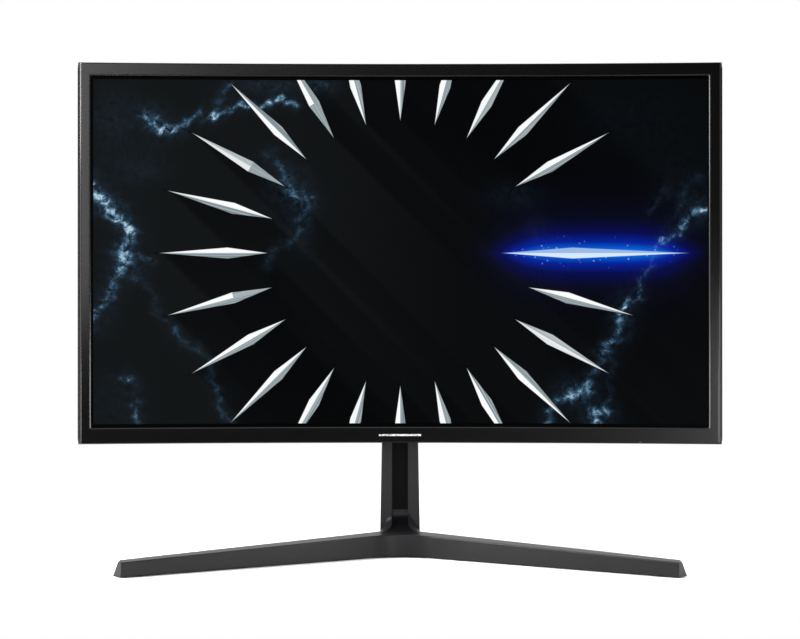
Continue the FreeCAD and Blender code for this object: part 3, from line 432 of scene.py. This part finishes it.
FINISHES: dict[str, Any] = {
    # Moulded ABS polished to a satin: soft streaks of the lights run along the bezel.
    "satin_black_abs": Moulded("satin moulded ABS", "030303", 0.19, 0.2, 0.35, 0.001, 0.06),
    # Spark-etched ABS: the rear cover's broad faces look soft and slightly grey.
    "textured_black_abs": Moulded("spark-textured ABS", "161617", 0.5, 0.35, 0.6, 0.03, 0.1),
    "panel_glass": MarblePicture(),
    "black_frame_plastic": Moulded("moulded polycarbonate", "101010", 0.5),
    # Bead-filled white film: bright and even, with faint prism lines.
    "white_film": Sheet("white diffusing film", "eef0f0", 0.5),
    "clear_acrylic": Sheet("polished clear acrylic", "e8eef0", 0.12, 0.8),
    "lamp_bar": Sheet("white lamp strip", "f4f0dc", 0.4, 0.0, 0.2, 3.0),
    # Hot-dip zinc: flat grey crystals of a few millimetres.
    "galvanised_steel": Plated("galvanised sheet steel", "9fa3a5", 0.42, 7.0, 0.8, (1.0, 1.0, 1.0)),
    "circuit_board": BoardMask("green solder mask", "0d3b22", "1f6a3c"),
    "chip_resin": Moulded("moulded epoxy resin", "18181a", 0.55, 0.4, 0.3, 0.01, 0.05),
    "cable_film": Sheet("polyester ribbon", "cfc6a4", 0.35, 0.0, 0.0, 1.0),
    # Nickel-plated pressed shell: pale and nearly mirror-like.
    "port_metal": Plated("nickel-plated shell", "b5b1aa", 0.2, 3.0, 0.3),
    "port_plastic": Moulded("glass-filled nylon", "141414", 0.5, 0.4, 0.3, 0.01, 0.05),
    "zinc_steel": Plated("zinc-plated pressed steel", "8b8e92", 0.36, 2.5, 0.5),
    "bright_steel": Plated("turned steel", "a8a9ab", 0.22, 1.2, 0.25),
    "screw_steel": Plated("black oxide steel", "2a2a2b", 0.4, 1.0, 0.3),
    "bronze": Plated("sintered bronze", "9a6c3a", 0.45, 0.8, 0.4, (1.0, 1.0, 1.0)),
    # Fine-etched ABS: more matt than the foot, with a finer grain.
    "neck_plastic": Moulded("fine-etched ABS", "1f1f21", 0.46, 0.16, 0.7, 0.02, 0.05),
    "neck_liner": Moulded("dark satin ABS", "070708", 0.50, 0.05, 0.6, 0.015, 0.05),
    # Sand-grained ABS: a visible fine speckle on a dark grey ground.
    "foot_paint": Moulded("sand-grained ABS", "101012", 0.34, 0.2, 0.9, 0.04, 0.14),
    "pad_rubber": Moulded("moulded rubber", "121212", 0.75, 0.3, 0.8, 0.02, 0.05),
    "jog_plastic": Moulded("satin ABS cap", "1b1b1c", 0.38, 0.35, 0.4, 0.01, 0.05),
    "lamp_lens": Sheet("smoked light pipe", "08080a", 0.6),
    # Brushed aluminium: a pale bar whose lines run along it.
    "badge_metal": Plated("brushed aluminium", "e2e2e4", 0.3, 2.0, 0.3, (0.05, 1.0, 1.0)),
}


# ---------------------------------------------------------------- meshes

def outward(points: np.ndarray, quads: np.ndarray) -> np.ndarray:
    """Turns every quad over if the closed surface's signed volume is below nought.

    The volume is a sixth of the sum, over each quad's two triangles, of the triple product of corners.
    """
    a, b, c, d = (points[quads[:, i]] for i in range(4))
    volume = np.einsum("ij,ij->", a, np.cross(b, c)) + np.einsum("ij,ij->", a, np.cross(c, d))
    return quads if volume > 0 else quads[:, ::-1]


def grid_quads(rows: int, columns: int, wrap_rows: bool) -> np.ndarray:
    """The corner numbers of every cell of a grid of points whose rows are closed rings.

    Args:
        rows: Points down the grid.
        columns: Points round each row.
        wrap_rows: Whether the last row joins the first.
    Returns:
        An array with four point numbers for each cell.
    """
    number = np.arange(rows * columns).reshape(rows, columns)
    beside, below = np.roll(number, -1, axis=1), np.roll(number, -1, axis=0)
    across = np.roll(below, -1, axis=1)
    cells = np.stack([number, below, across, beside], axis=-1)
    return (cells if wrap_rows else cells[:-1]).reshape(-1, 4)


def lidded(grid: np.ndarray) -> tuple[np.ndarray, np.ndarray]:
    """Closes an open tube with a fan at each end.

    Each row is a ring round the tube. The first and last rings shrink to their own middle points, which
    are added as rows of equal points and merged when the mesh is made.

    Args:
        grid: Points of shape (rows, columns, 3).
    Returns:
        The grid with its end rings added, and its quads.
    """
    first, last = (np.broadcast_to(ring.mean(axis=0), ring.shape)[None] for ring in (grid[0], grid[-1]))
    closed = np.concatenate([first, grid, last])
    return closed, grid_quads(*closed.shape[:2], False)


def make_piece(name: str, points: np.ndarray, quads: np.ndarray, angle: float = 32.0) -> bpy.types.Object:
    """Puts a closed grid surface into a mesh object at the origin, with equal points merged.

    Args:
        name: The piece's name.
        points: Any array of points whose last axis is x, y, z in metres.
        quads: Four point numbers for each face.
        angle: Edges sharper than this many degrees stay crisp.
    Returns:
        The new object, linked to the scene.
    """
    flat = points.reshape(-1, 3)
    mesh = bpy.data.meshes.new(name)
    mesh.from_pydata(flat.tolist(), [], outward(flat, quads).tolist())
    cage = bmesh.new()
    cage.from_mesh(mesh)
    bmesh.ops.remove_doubles(cage, verts=cage.verts, dist=MERGE)
    bmesh.ops.dissolve_degenerate(cage, edges=cage.edges, dist=MERGE / 10)
    cage.to_mesh(mesh)
    cage.free()
    mesh.shade_smooth()
    mesh.set_sharp_from_angle(angle=math.radians(angle))
    piece = bpy.data.objects.new(name, mesh)
    bpy.context.scene.collection.objects.link(piece)
    return piece


def hand_over(piece: bpy.types.Object, body: Ride, slot: str, materials: dict[str, bpy.types.Material],
              *nodes: str) -> None:
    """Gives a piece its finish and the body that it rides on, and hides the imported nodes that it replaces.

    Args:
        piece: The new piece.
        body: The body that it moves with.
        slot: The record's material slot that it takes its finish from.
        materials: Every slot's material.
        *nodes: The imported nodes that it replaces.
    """
    piece.data.materials.append(materials[slot])
    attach(piece, body.value)
    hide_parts(*nodes)
    LOG.info("%s: %d faces, rides on %s", piece.name, len(piece.data.polygons), body.value)


@dataclass(frozen=True)
class HeadCurve:
    """The head's curve: an arc about an upright axis in front of the screen."""

    radius: float = 1.8
    front: float = 0.040

    def depth(self, x: np.ndarray, behind: np.ndarray | float = 0.0) -> np.ndarray:
        """How far back a point is: the arc of the radius plus its distance behind the face, at that x."""
        return self.front - self.radius + np.sqrt((self.radius + behind) ** 2 - x ** 2)


@dataclass
class FrontBezel:
    """The thin moulded frame round the screen.

    Its section is carried round a rectangle with rounded corners and bent to the head's curve.
    Insets are measured inwards from the frame's outline, depths back from its face. The sloping lip is
    deeper along the long edges than at the sides, by edge_lip_share.
    """

    curve: HeadCurve = field(default_factory=HeadCurve)
    half: float = 0.2721
    low: float = 0.0983
    high: float = 0.4220
    opening_half: float = 0.26205
    opening_low: float = 0.1121
    opening_high: float = 0.4109
    corner: float = 0.0016
    back: float = 0.0060
    side_break: float = 0.0019
    edge_break: float = 0.0004
    lip_break: float = 0.0013
    lip: float = 0.00175
    groove: float = 0.0005
    edge_lip_share: float = 1.25
    wall: float = 0.0022

    def outer_way(self, size: float, bend: float) -> list[tuple[float, float]]:
        """The section from the back of the wall round the outer break to the face.

        Rows close to each bend keep the wall and the face flat right up to the break.

        Args:
            size: How far the break reaches, both ways.
            bend: The share of the break, from each end, at which its own two rows lie.
        Returns:
            Pairs of an inset and a depth.
        """
        near, far = size * bend, size * (1 - bend)
        return [(0.0, self.back), (0.0, size + 0.0008), (0.0, size + 0.0002), (0.0001, size), (near, far),
                (far, near), (size - 0.0001, 0.0001), (size + 0.0002, 0.0), (size + 0.0006, 0.0)]

    def loop(self, half: np.ndarray, low: np.ndarray, high: np.ndarray,
             corner: np.ndarray) -> tuple[np.ndarray, np.ndarray, np.ndarray]:
        """Rounded rectangles, one for each row of sizes.

        Each point is a corner centre's share of the straight part plus the corner's radius along the
        outward way, which is constant along a side and turns through a right angle at a corner.

        Args:
            half: Half-widths, one column.
            low: Lowest heights, one column.
            high: Highest heights, one column.
            corner: Corner radii, one column.
        Returns:
            x, z, and how much each point belongs to an upright side, from 0 to 1.
        """
        run, rise, turn = np.linspace(-1, 1, 121), np.linspace(-1, 1, 25), np.linspace(0, 1, 8)[1:-1]
        one_run, one_rise, one_turn = np.ones_like(run), np.ones_like(rise), np.ones_like(turn)
        sides = [(run, -one_run), (one_rise, rise), (-run, one_run), (-one_rise, -rise)]
        knees = [(1, -1), (1, 1), (-1, 1), (-1, -1)]
        pieces = []
        for quarter, (side, knee) in enumerate(zip(sides, knees)):
            start = (quarter - 1) * math.pi / 2
            pieces.append(np.stack([*side, np.full_like(side[0], start)]))
            pieces.append(np.stack([one_turn * knee[0], one_turn * knee[1], start + turn * math.pi / 2]))
        share_x, share_z, out = np.concatenate(pieces, axis=1)
        middle, tall = (high + low) / 2, (high - low) / 2
        x = share_x * (half - corner) + corner * np.cos(out)
        z = middle + share_z * (tall - corner) + corner * np.sin(out)
        return x, z, np.broadcast_to(np.abs(np.cos(out)), x.shape)

    def build(self) -> bpy.types.Object:
        """Sweeps the section: wall, outer break, face, inner break, lip, and the hollow behind."""
        side = self.half - self.opening_half
        foot, head = self.opening_low - self.low, self.high - self.opening_high
        # inset at the sides, bottom and top, then depth at the sides and at the long edges
        side_way = self.outer_way(self.side_break, 0.2)
        edge_way = self.outer_way(self.edge_break, 0.3)
        outer = [(s_in, e_in, e_in, s_deep, e_deep)
                 for (s_in, s_deep), (e_in, e_deep) in zip(side_way, edge_way)]
        # back from the opening and down from the face: the face's edge, a fine groove, the sloping lip
        lip_way = [(self.lip_break + 0.0009, 0.0), (self.lip_break + 0.0006, 0.0),
                   (self.lip_break + 0.00055, self.groove), (self.lip_break + 0.0001, self.groove),
                   (self.lip_break + 0.00005, 0.0001), (0.0003, 0.00072), (0.0, 0.0011), (0.0, self.lip)]
        inner = []
        for gap, deep in lip_way:
            steeper = 1.0 if gap > self.lip_break else self.edge_lip_share
            inner.append((side - gap, foot - gap, head - gap, deep, min(deep * steeper, self.lip)))
        rear = [(self.wall, self.wall, self.wall, deep, deep) for deep in (self.lip, self.back)]
        rows = np.array(outer + inner + rear)
        inset_side, inset_low, inset_high, deep_side, deep_edge = (rows[:, i:i + 1] for i in range(5))
        corner = np.maximum(self.corner - inset_side * 0.2, 0.0005)
        x, z, upright = self.loop(self.half - inset_side, self.low + inset_low, self.high - inset_high,
                                  corner)
        depth = deep_side * upright + deep_edge * (1 - upright)
        points = np.stack([x, self.curve.depth(x, depth), z], axis=-1)
        return make_piece("bezel_frame", points, grid_quads(*x.shape, True), 38.0)


@dataclass
class PicturePanel:
    """The curved panel and the painted ground of its picture.

    Every vein is a chain of (x, z) places in millimetres from the ring's middle, with a width and a
    strength, and every cloud is a middle, two spreads and a strength. The glow's sizes are in the same
    millimetres.
    """

    curve: HeadCurve = field(default_factory=HeadCurve)
    half: float = 0.265
    low: float = 0.1095
    high: float = 0.4135
    face: float = 0.0018
    back: float = 0.0032
    columns: int = 301
    rows: int = 173
    picture: MarblePicture = field(default_factory=MarblePicture)
    glow_middle: tuple[float, float] = (166.0, 0.3)
    glow_half: float = 76.0
    glow_fall: float = 13.0
    veins: tuple[tuple[float, float, tuple[tuple[float, float], ...]], ...] = (
        (6.2, 0.85, ((-268, 60), (-260, 53), (-251, 42), (-241, 33), (-235, 28), (-232, 20), (-232, 12),
                     (-234, 4), (-237, -5))),
        (2.2, 0.85, ((-268, 56), (-260, 49), (-251, 39), (-242, 31), (-235, 25), (-231, 16), (-232, 6))),
        (4.0, 0.62, ((-237, -5), (-240, -17), (-243, -27), (-249, -37), (-255, -47), (-260, -58),
                     (-266, -68))),
        (3.0, 0.45, ((-228, -2), (-219, -4), (-211, -5))),
        (3.0, 0.34, ((-226, -23), (-214, -25), (-211, -38), (-206, -49), (-200, -59), (-194, -67))),
        (3.4, 0.44, ((-194, -67), (-183, -75), (-173, -81), (-166, -89), (-162, -100), (-158, -114),
                     (-154, -129), (-145, -145))),
        (3.0, 0.6, ((-235, -106), (-228, -108), (-226, -111))),
        (3.4, 0.55, ((-226, -125), (-223, -135), (-225, -147))),
        (4.6, 0.62, ((-217, 119), (-211, 115), (-204, 106), (-198, 103))),
        (3.0, 0.72, ((-204, 104), (-192, 104), (-186, 108), (-180, 114), (-172, 118))),
        (2.6, 1.15, ((-163, 113), (-158, 117), (-151, 122), (-139, 124), (-128, 127), (-117, 126),
                     (-106, 129), (-98, 131), (-91, 129))),
        (3.4, 0.4, ((-160, 116), (-158, 128), (-152, 134), (-144, 145))),
        (4.5, 0.5, ((-112, 84), (-108, 78), (-103, 70), (-96, 62), (-91, 52), (-79, 43))),
        (4.0, 0.36, ((-79, 43), (-82, 32), (-88, 22), (-93, 13), (-107, 0), (-116, -10))),
        (3.0, 0.85, ((222, 9), (230, 15), (239, 24), (247, 30), (254, 35), (268, 40))),
        (2.6, 0.66, ((222, 9), (219, 0), (211, -11), (207, -17), (205, -29), (202, -37), (193, -42),
                     (190, -51))),
        (3.6, 0.6, ((190, -51), (188, -57), (184, -66), (177, -78), (172, -85), (169, -93), (164, -106),
                    (161, -118))),
        (2.0, 0.42, ((190, -75), (177, -77))),
        (2.4, 0.3, ((179, -84), (181, -100), (178, -114), (175, -126))),
        (4.2, 0.75, ((152, -117), (145, -119), (141, -123), (133, -129), (124, -146))),
        (4.4, 0.72, ((176, -134), (169, -136), (165, -141), (167, -150))),
        (2.4, 0.28, ((213, 37), (220, 46), (229, 54))),
        (2.4, 0.26, ((236, 36), (238, 48), (246, 58), (256, 64))))
    clouds: tuple[tuple[float, float, float, float, float], ...] = (
        (-245, 112, 22, 26, 0.3), (-222, 72, 22, 14, 0.3), (-210, 112, 14, 14, 0.34),
        (-112, 143, 34, 7, 0.46), (-68, 144, 15, 9, 0.42), (-228, -12, 12, 10, 0.32),
        (-252, 44, 14, 12, 0.3), (-250, -45, 14, 24, 0.16), (-245, -125, 26, 26, 0.15),
        (-95, 55, 20, 20, 0.34), (-82, 20, 10, 24, 0.22), (190, -55, 12, 22, 0.28),
        (148, -118, 16, 12, 0.42), (168, -138, 16, 11, 0.42), (252, 36, 14, 14, 0.3),
        (240, 62, 26, 26, 0.1), (97, 49, 24, 11, 0.22), (200, 115, 60, 30, 0.07), (116, 18, 10, 12, 0.2))

    def chain_distance(self, x: np.ndarray, z: np.ndarray, chain: np.ndarray) -> np.ndarray:
        """The least distance from each point to a chain of straight runs.

        Along each run the nearest place is the point's projection held between the run's two ends.
        """
        start, run = chain[:-1], chain[1:] - chain[:-1]
        off_x, off_z = x[..., None] - start[:, 0], z[..., None] - start[:, 1]
        share = np.clip((off_x * run[:, 0] + off_z * run[:, 1]) / (run ** 2).sum(axis=1), 0, 1)
        return np.hypot(off_x - share * run[:, 0], off_z - share * run[:, 1]).min(axis=-1)

    def shade(self, x: np.ndarray, z: np.ndarray) -> np.ndarray:
        """How lit the stone is at each point.

        It fades from left to right. The light comes from the upper left, so each lozenge casts a long band
        to the lower right: a point is in it where it lies between the two tips' rays and past the line
        that joins them.
        """
        lit = 0.25 + 0.75 / (1 + np.exp((x + 20) / 34))
        spokes = np.delete(np.arange(self.picture.count), self.picture.empty_spoke)
        ray_x, ray_z = math.cos(-math.pi / 4), math.sin(-math.pi / 4)
        for bearing in spokes * math.tau / self.picture.count:
            head_x, head_z = math.cos(bearing), math.sin(bearing)
            cross = head_x * ray_z - head_z * ray_x
            if abs(cross) < 0.25:
                continue
            along = (x * ray_z - z * ray_x) / cross
            past = (head_x * z - head_z * x) / cross
            span = (along - self.picture.inner_mm) / (self.picture.outer_mm - self.picture.inner_mm)
            inside = np.clip(span / 0.04, 0, 1) * np.clip((1 - span) / 0.04, 0, 1) * (past > 0)
            lit = lit * (1 - 0.72 * inside * np.exp(-np.maximum(past, 0) / 210))
        return lit

    def paint(self, piece: bpy.types.Object) -> None:
        """Stores the picture's ground on the points: veins in red, light in green, glow in blue.

        A vein or cloud falls off as a bell curve of distance. The glow falls off evenly above and below
        the flare and is flat along it, with soft ends.
        """
        count = len(piece.data.vertices)
        places = np.empty(count * 3)
        piece.data.vertices.foreach_get("co", places)
        places = places.reshape(-1, 3)
        x = (places[:, 0] - self.picture.centre[0]) / MM
        z = (places[:, 2] - self.picture.centre[1]) / MM
        wobble_x = 2.2 * np.sin(z * 0.23 + 1.0) + 1.3 * np.sin(z * 0.61 + x * 0.17)
        wobble_z = 2.0 * np.sin(x * 0.21 + 2.0) + 1.2 * np.sin(x * 0.57 - z * 0.19)
        vein = np.zeros(count)
        for width, strength, chain in self.veins:
            gap = self.chain_distance(x + wobble_x, z + wobble_z, np.array(chain, dtype=float))
            halo = 0.26 * np.exp(-(gap / (2.6 * width)) ** 2)
            vein = vein + strength * (np.exp(-(gap / width) ** 2) + halo)
        for middle_x, middle_z, wide, tall, strength in self.clouds:
            vein = vein + strength * np.exp(-((x - middle_x) / wide) ** 2 - ((z - middle_z) / tall) ** 2)
        off_x, off_z = x - self.glow_middle[0], z - self.glow_middle[1]
        glow = np.exp(-np.abs(off_z) / self.glow_fall - (off_x / self.glow_half) ** 4)
        strongest = 1.6
        colours = np.stack([np.clip(vein, 0, strongest) / strongest, self.shade(x, z), glow,
                            np.ones(count)], axis=1)
        layer = piece.data.color_attributes.new("backdrop", "FLOAT_COLOR", "POINT")
        layer.data.foreach_set("color", colours.astype(np.float32).ravel())

    def build(self) -> bpy.types.Object:
        """Bends a fine grid for the face and a plain back, one band all round, to the head's curve."""
        x = np.linspace(-self.half, self.half, self.columns)[None, :]
        heights = np.linspace(self.low, self.high, self.rows)
        z = np.concatenate([heights, [self.high, self.low]])[:, None]
        depth = np.concatenate([np.full(self.rows, self.face), [self.back, self.back]])[:, None]
        x, z = np.broadcast_arrays(x, z)
        points = np.stack([x, self.curve.depth(x, depth), z], axis=-1)
        closed, quads = lidded(points.transpose(1, 0, 2))
        piece = make_piece("picture_panel", closed, quads, 40.0)
        self.paint(piece)
        return piece


@dataclass
class Neck:
    """The upright's front cover with its rounded edges, and the moulded root that leads into it."""

    front: float = 0.0831
    split: float = 0.101
    low: float = 0.0121
    taper_low: float = 0.012
    hinge_z: float = 0.252
    round_top: float = 0.018
    half_low: float = 0.01745
    half_high: float = 0.0127
    edge: float = 0.0011
    slot_half: float = 0.00705
    slot_break: float = 0.00025
    slot_floor: float = 0.0885
    slot_low: float = 0.0196
    slot_high: float = 0.2281
    seam: float = 0.0378
    root_front: float = 0.0585
    root_floor: float = 0.0870
    root_back: float = 0.0882
    root_half: float = 0.0168
    tongue_half: float = 0.0069

    def half_width(self, z: np.ndarray) -> np.ndarray:
        """The half-width at each height: an even taper from the foot to the hinge."""
        share = np.clip((z - self.taper_low) / (self.hinge_z - self.taper_low), 0, 1)
        return self.half_low + (self.half_high - self.half_low) * share

    def cover(self) -> bpy.types.Object:
        """The front cover.

        At each height the section runs from the split round a quarter-round edge to the face, down into
        the slot and back out, mirrored. Over the hinge the face bends back in an arc to the split.
        """
        under = np.linspace(self.low, self.slot_low, 4)
        slotted = np.linspace(self.slot_low, self.slot_high, 60)
        over = np.linspace(self.slot_high, self.hinge_z, 6)
        top = self.hinge_z + self.round_top * np.sin(np.linspace(0, 0.992, 16) * math.pi / 2)
        z = np.concatenate([under, slotted, over, top[1:]])[:, None]
        has_slot = np.zeros_like(z, dtype=bool)
        has_slot[len(under):len(under) + len(slotted)] = True
        rise = np.clip(z - self.hinge_z, 0, self.round_top)
        bent_in = np.sqrt(self.round_top ** 2 - rise ** 2)
        face = self.split - np.where(rise > 0, bent_in, self.split - self.front)
        deep = np.where(has_slot, self.slot_floor, face)
        half = self.half_width(z)
        room = np.minimum(self.edge, (self.split - face) * 0.8)
        turn = np.linspace(0, math.pi / 2, 6)[None, :]
        arc_x, arc_y = half - room * (1 - np.cos(turn)), face + room * (1 - np.sin(turn))
        slot = np.full_like(half, self.slot_half)
        brink = np.minimum(face + self.slot_break, deep)
        right_x = np.concatenate([half, arc_x, slot + self.slot_break, slot, slot, slot * 0], axis=1)
        right_y = np.concatenate([np.full_like(half, self.split), arc_y, face, brink, deep, deep], axis=1)
        x = np.concatenate([right_x, -right_x[:, -2::-1]], axis=1)
        y = np.concatenate([right_y, right_y[:, -2::-1]], axis=1)
        points = np.stack([x, y, np.broadcast_to(z, x.shape)], axis=-1)
        closed, quads = lidded(points)
        return make_piece("upright_front", closed, quads, 34.0)

    def root(self) -> bpy.types.Object:
        """The moulded root between the foot and the slot.

        Down from the seam, the slot's floor sweeps forward with about the third power of the way down, a thin
        edge beside it sweeps forward a little sooner, and a flat facet leans from that edge back to the
        upright's face along a line that widens evenly. The floor widens only near the foot.
        """
        share = np.linspace(0, 1, 41)[:, None]
        gap = 0.0001
        z = self.seam - gap - (self.seam - self.slot_low - gap) * share
        floor = self.root_floor - (self.root_floor - self.root_front) * share ** 3.2
        sweep = self.front - self.root_front - 0.0004
        brink = np.minimum(self.front - gap - sweep * share ** 2.6, floor)
        least = 0.0002  # the facet is never narrower than this
        start = self.tongue_half + least + 0.0001
        tongue = self.tongue_half + (self.root_half - self.tongue_half - least) * share ** 9
        fan = np.clip((share - 0.08) / 0.92, 0, 1)
        outer = np.maximum(tongue + least, start + (self.root_half - start) * fan)
        across = np.linspace(0, 1, 9)[None, :]
        lean = np.linspace(0, 1, 7)[None, 1:]
        face = self.front - 0.00015  # a hair proud of the upright's own face
        back = np.full_like(outer, self.root_back)
        right_x = np.concatenate([tongue * across, tongue, tongue + (outer - tongue) * lean, outer,
                                  outer * 0], axis=1)
        right_y = np.concatenate([floor + 0 * across, brink, brink + (face - brink) * lean, back, back],
                                 axis=1)
        x = np.concatenate([right_x, -right_x[:, -2:0:-1]], axis=1)
        y = np.concatenate([right_y, right_y[:, -2:0:-1]], axis=1)
        points = np.stack([x, y, np.broadcast_to(z, x.shape)], axis=-1)
        closed, quads = lidded(points)
        return make_piece("upright_root", closed, quads, 24.0)


# ---------------------------------------------------------------- studio

@dataclass(frozen=True)
class Softbox:
    """A rectangular studio light that the camera itself doesn't see."""

    name: str
    place: tuple[float, float, float]
    aim: tuple[float, float, float]
    size: tuple[float, float]
    radiance: float

    def build(self) -> None:
        """Makes the light; its power is radiance times pi times its area."""
        data = bpy.data.lights.new(self.name, "AREA")
        data.shape, data.size, data.size_y = "RECTANGLE", *self.size
        data.energy = self.radiance * math.pi * self.size[0] * self.size[1]
        lamp = bpy.data.objects.new(self.name, data)
        bpy.context.scene.collection.objects.link(lamp)
        start, end = np.array(self.place), np.array(self.aim)
        lamp.location = self.place
        lamp.rotation_euler = mathutils.Vector(end - start).to_track_quat("-Z", "Y").to_euler()
        lamp.visible_camera = False


@dataclass
class Studio:
    """The floor, lights, backdrop light and camera."""

    floor_radius: float = 0.95
    floor_middle: float = 0.55
    camera_place: tuple[float, float, float] = (0.0, -2.46, 0.257)
    lens: float = 131.62
    shift_z: float = -0.0781
    front_light: float = 0.10
    back_light: float = 0.75
    lights: tuple[Softbox, ...] = (
        Softbox("overhead", (0.0, 0.45, 2.6), (0.0, 0.45, 0.0), (3.8, 3.8), 1.75),
        Softbox("left_side", (-0.75, -0.08, 0.60), (-0.2, -0.04, 0.40), (0.25, 0.5), 34.0),
        Softbox("left_low", (-0.75, -0.10, 0.20), (-0.2, -0.04, 0.22), (0.25, 0.34), 8.0),
        Softbox("right_side", (0.75, -0.04, 0.12), (0.2, 0.0, 0.1), (0.25, 0.2), 5.0),
        Softbox("foot_left", (-0.42, -0.16, 0.11), (0.1, 0.0, 0.02), (0.12, 0.10), 26.0),
        Softbox("foot_right", (0.42, -0.16, 0.11), (-0.1, 0.0, 0.02), (0.12, 0.10), 30.0),
        Softbox("near_top_left", (-0.19, -0.76, 0.42), (-0.19, 0.0, 0.34), (0.16, 0.46), 10.0),
        Softbox("near_low_right", (0.22, -0.74, 0.10), (0.24, 0.0, 0.14), (0.14, 0.18), 15.0))

    def build(self) -> None:
        """Makes the stage.

        The world is pale behind the screen and dim before it, so that the screen mirrors little; seen
        directly it is white. The floor is a disc with 96 sides.
        """
        scene = bpy.context.scene
        scene.view_settings.view_transform = "Standard"
        scene.view_settings.look = "None"
        turn = np.linspace(0, math.tau, 97)[:-1]
        rim = np.stack([np.cos(turn), np.sin(turn), 0 * turn], axis=1) * self.floor_radius
        rim[:, 1] += self.floor_middle
        mesh = bpy.data.meshes.new("floor")
        mesh.from_pydata(rim.tolist(), [], [tuple(range(len(rim)))])
        mesh.materials.append(PaleFloor().build())
        floor = bpy.data.objects.new("floor", mesh)
        scene.collection.objects.link(floor)
        for light in self.lights:
            light.build()
        world = bpy.data.worlds.new("studio")
        scene.world = world
        graph = Graph(world)
        ahead = graph.add("SeparateXYZ", {"Vector": graph.add("TexCoord", output="Generated")}, output="Y")
        fall = graph.add("MapRange", {"Value": ahead, "From Min": -0.7, "From Max": 0.6,
                                      "To Min": self.front_light, "To Max": self.back_light})
        seen = graph.add("LightPath", output="Is Camera Ray")
        strength = graph.add("Math", {0: fall, 1: seen}, operation="MAXIMUM")
        sky = graph.add("Background", {"Color": (1.0, 1.0, 1.0, 1.0), "Strength": strength})
        graph.add("OutputWorld", {"Surface": sky})
        data = bpy.data.cameras.new("camera")
        data.lens, data.sensor_width, data.shift_y = self.lens, 36.0, self.shift_z
        camera = bpy.data.objects.new("camera", data)
        camera.location = self.camera_place
        camera.rotation_euler = (math.pi / 2, 0, 0)
        scene.collection.objects.link(camera)
        scene.camera = camera


def dress_nodes(materials: dict[str, bpy.types.Material]) -> None:
    """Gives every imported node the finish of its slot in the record."""
    slots = {row["node"]: row["material_slot"] for row in frame["record"]["subparts"]}
    for name, thing in frame["nodes"].items():
        for holder in thing.material_slots:
            holder.material = materials[slots[name]]
        LOG.info("%s: dressed as %s", name, slots[name])


def main() -> None:
    """Builds the studio and every new piece in order."""
    logging.basicConfig(level=logging.INFO, format="%(message)s")
    Studio().build()
    materials = {slot: finish.build() for slot, finish in FINISHES.items()}
    dress_nodes(materials)
    neck = Neck()
    hand_over(FrontBezel().build(), Ride.DISPLAY, "satin_black_abs", materials, "front_bezel")
    hand_over(PicturePanel().build(), Ride.DISPLAY, "panel_glass", materials, "lcd_cell")
    hand_over(neck.cover(), Ride.STAND, "neck_plastic", materials, "neck_front_cover")
    hand_over(neck.root(), Ride.STAND, "foot_paint", materials, "root_cover")


if __name__ == "__main__":
    main()
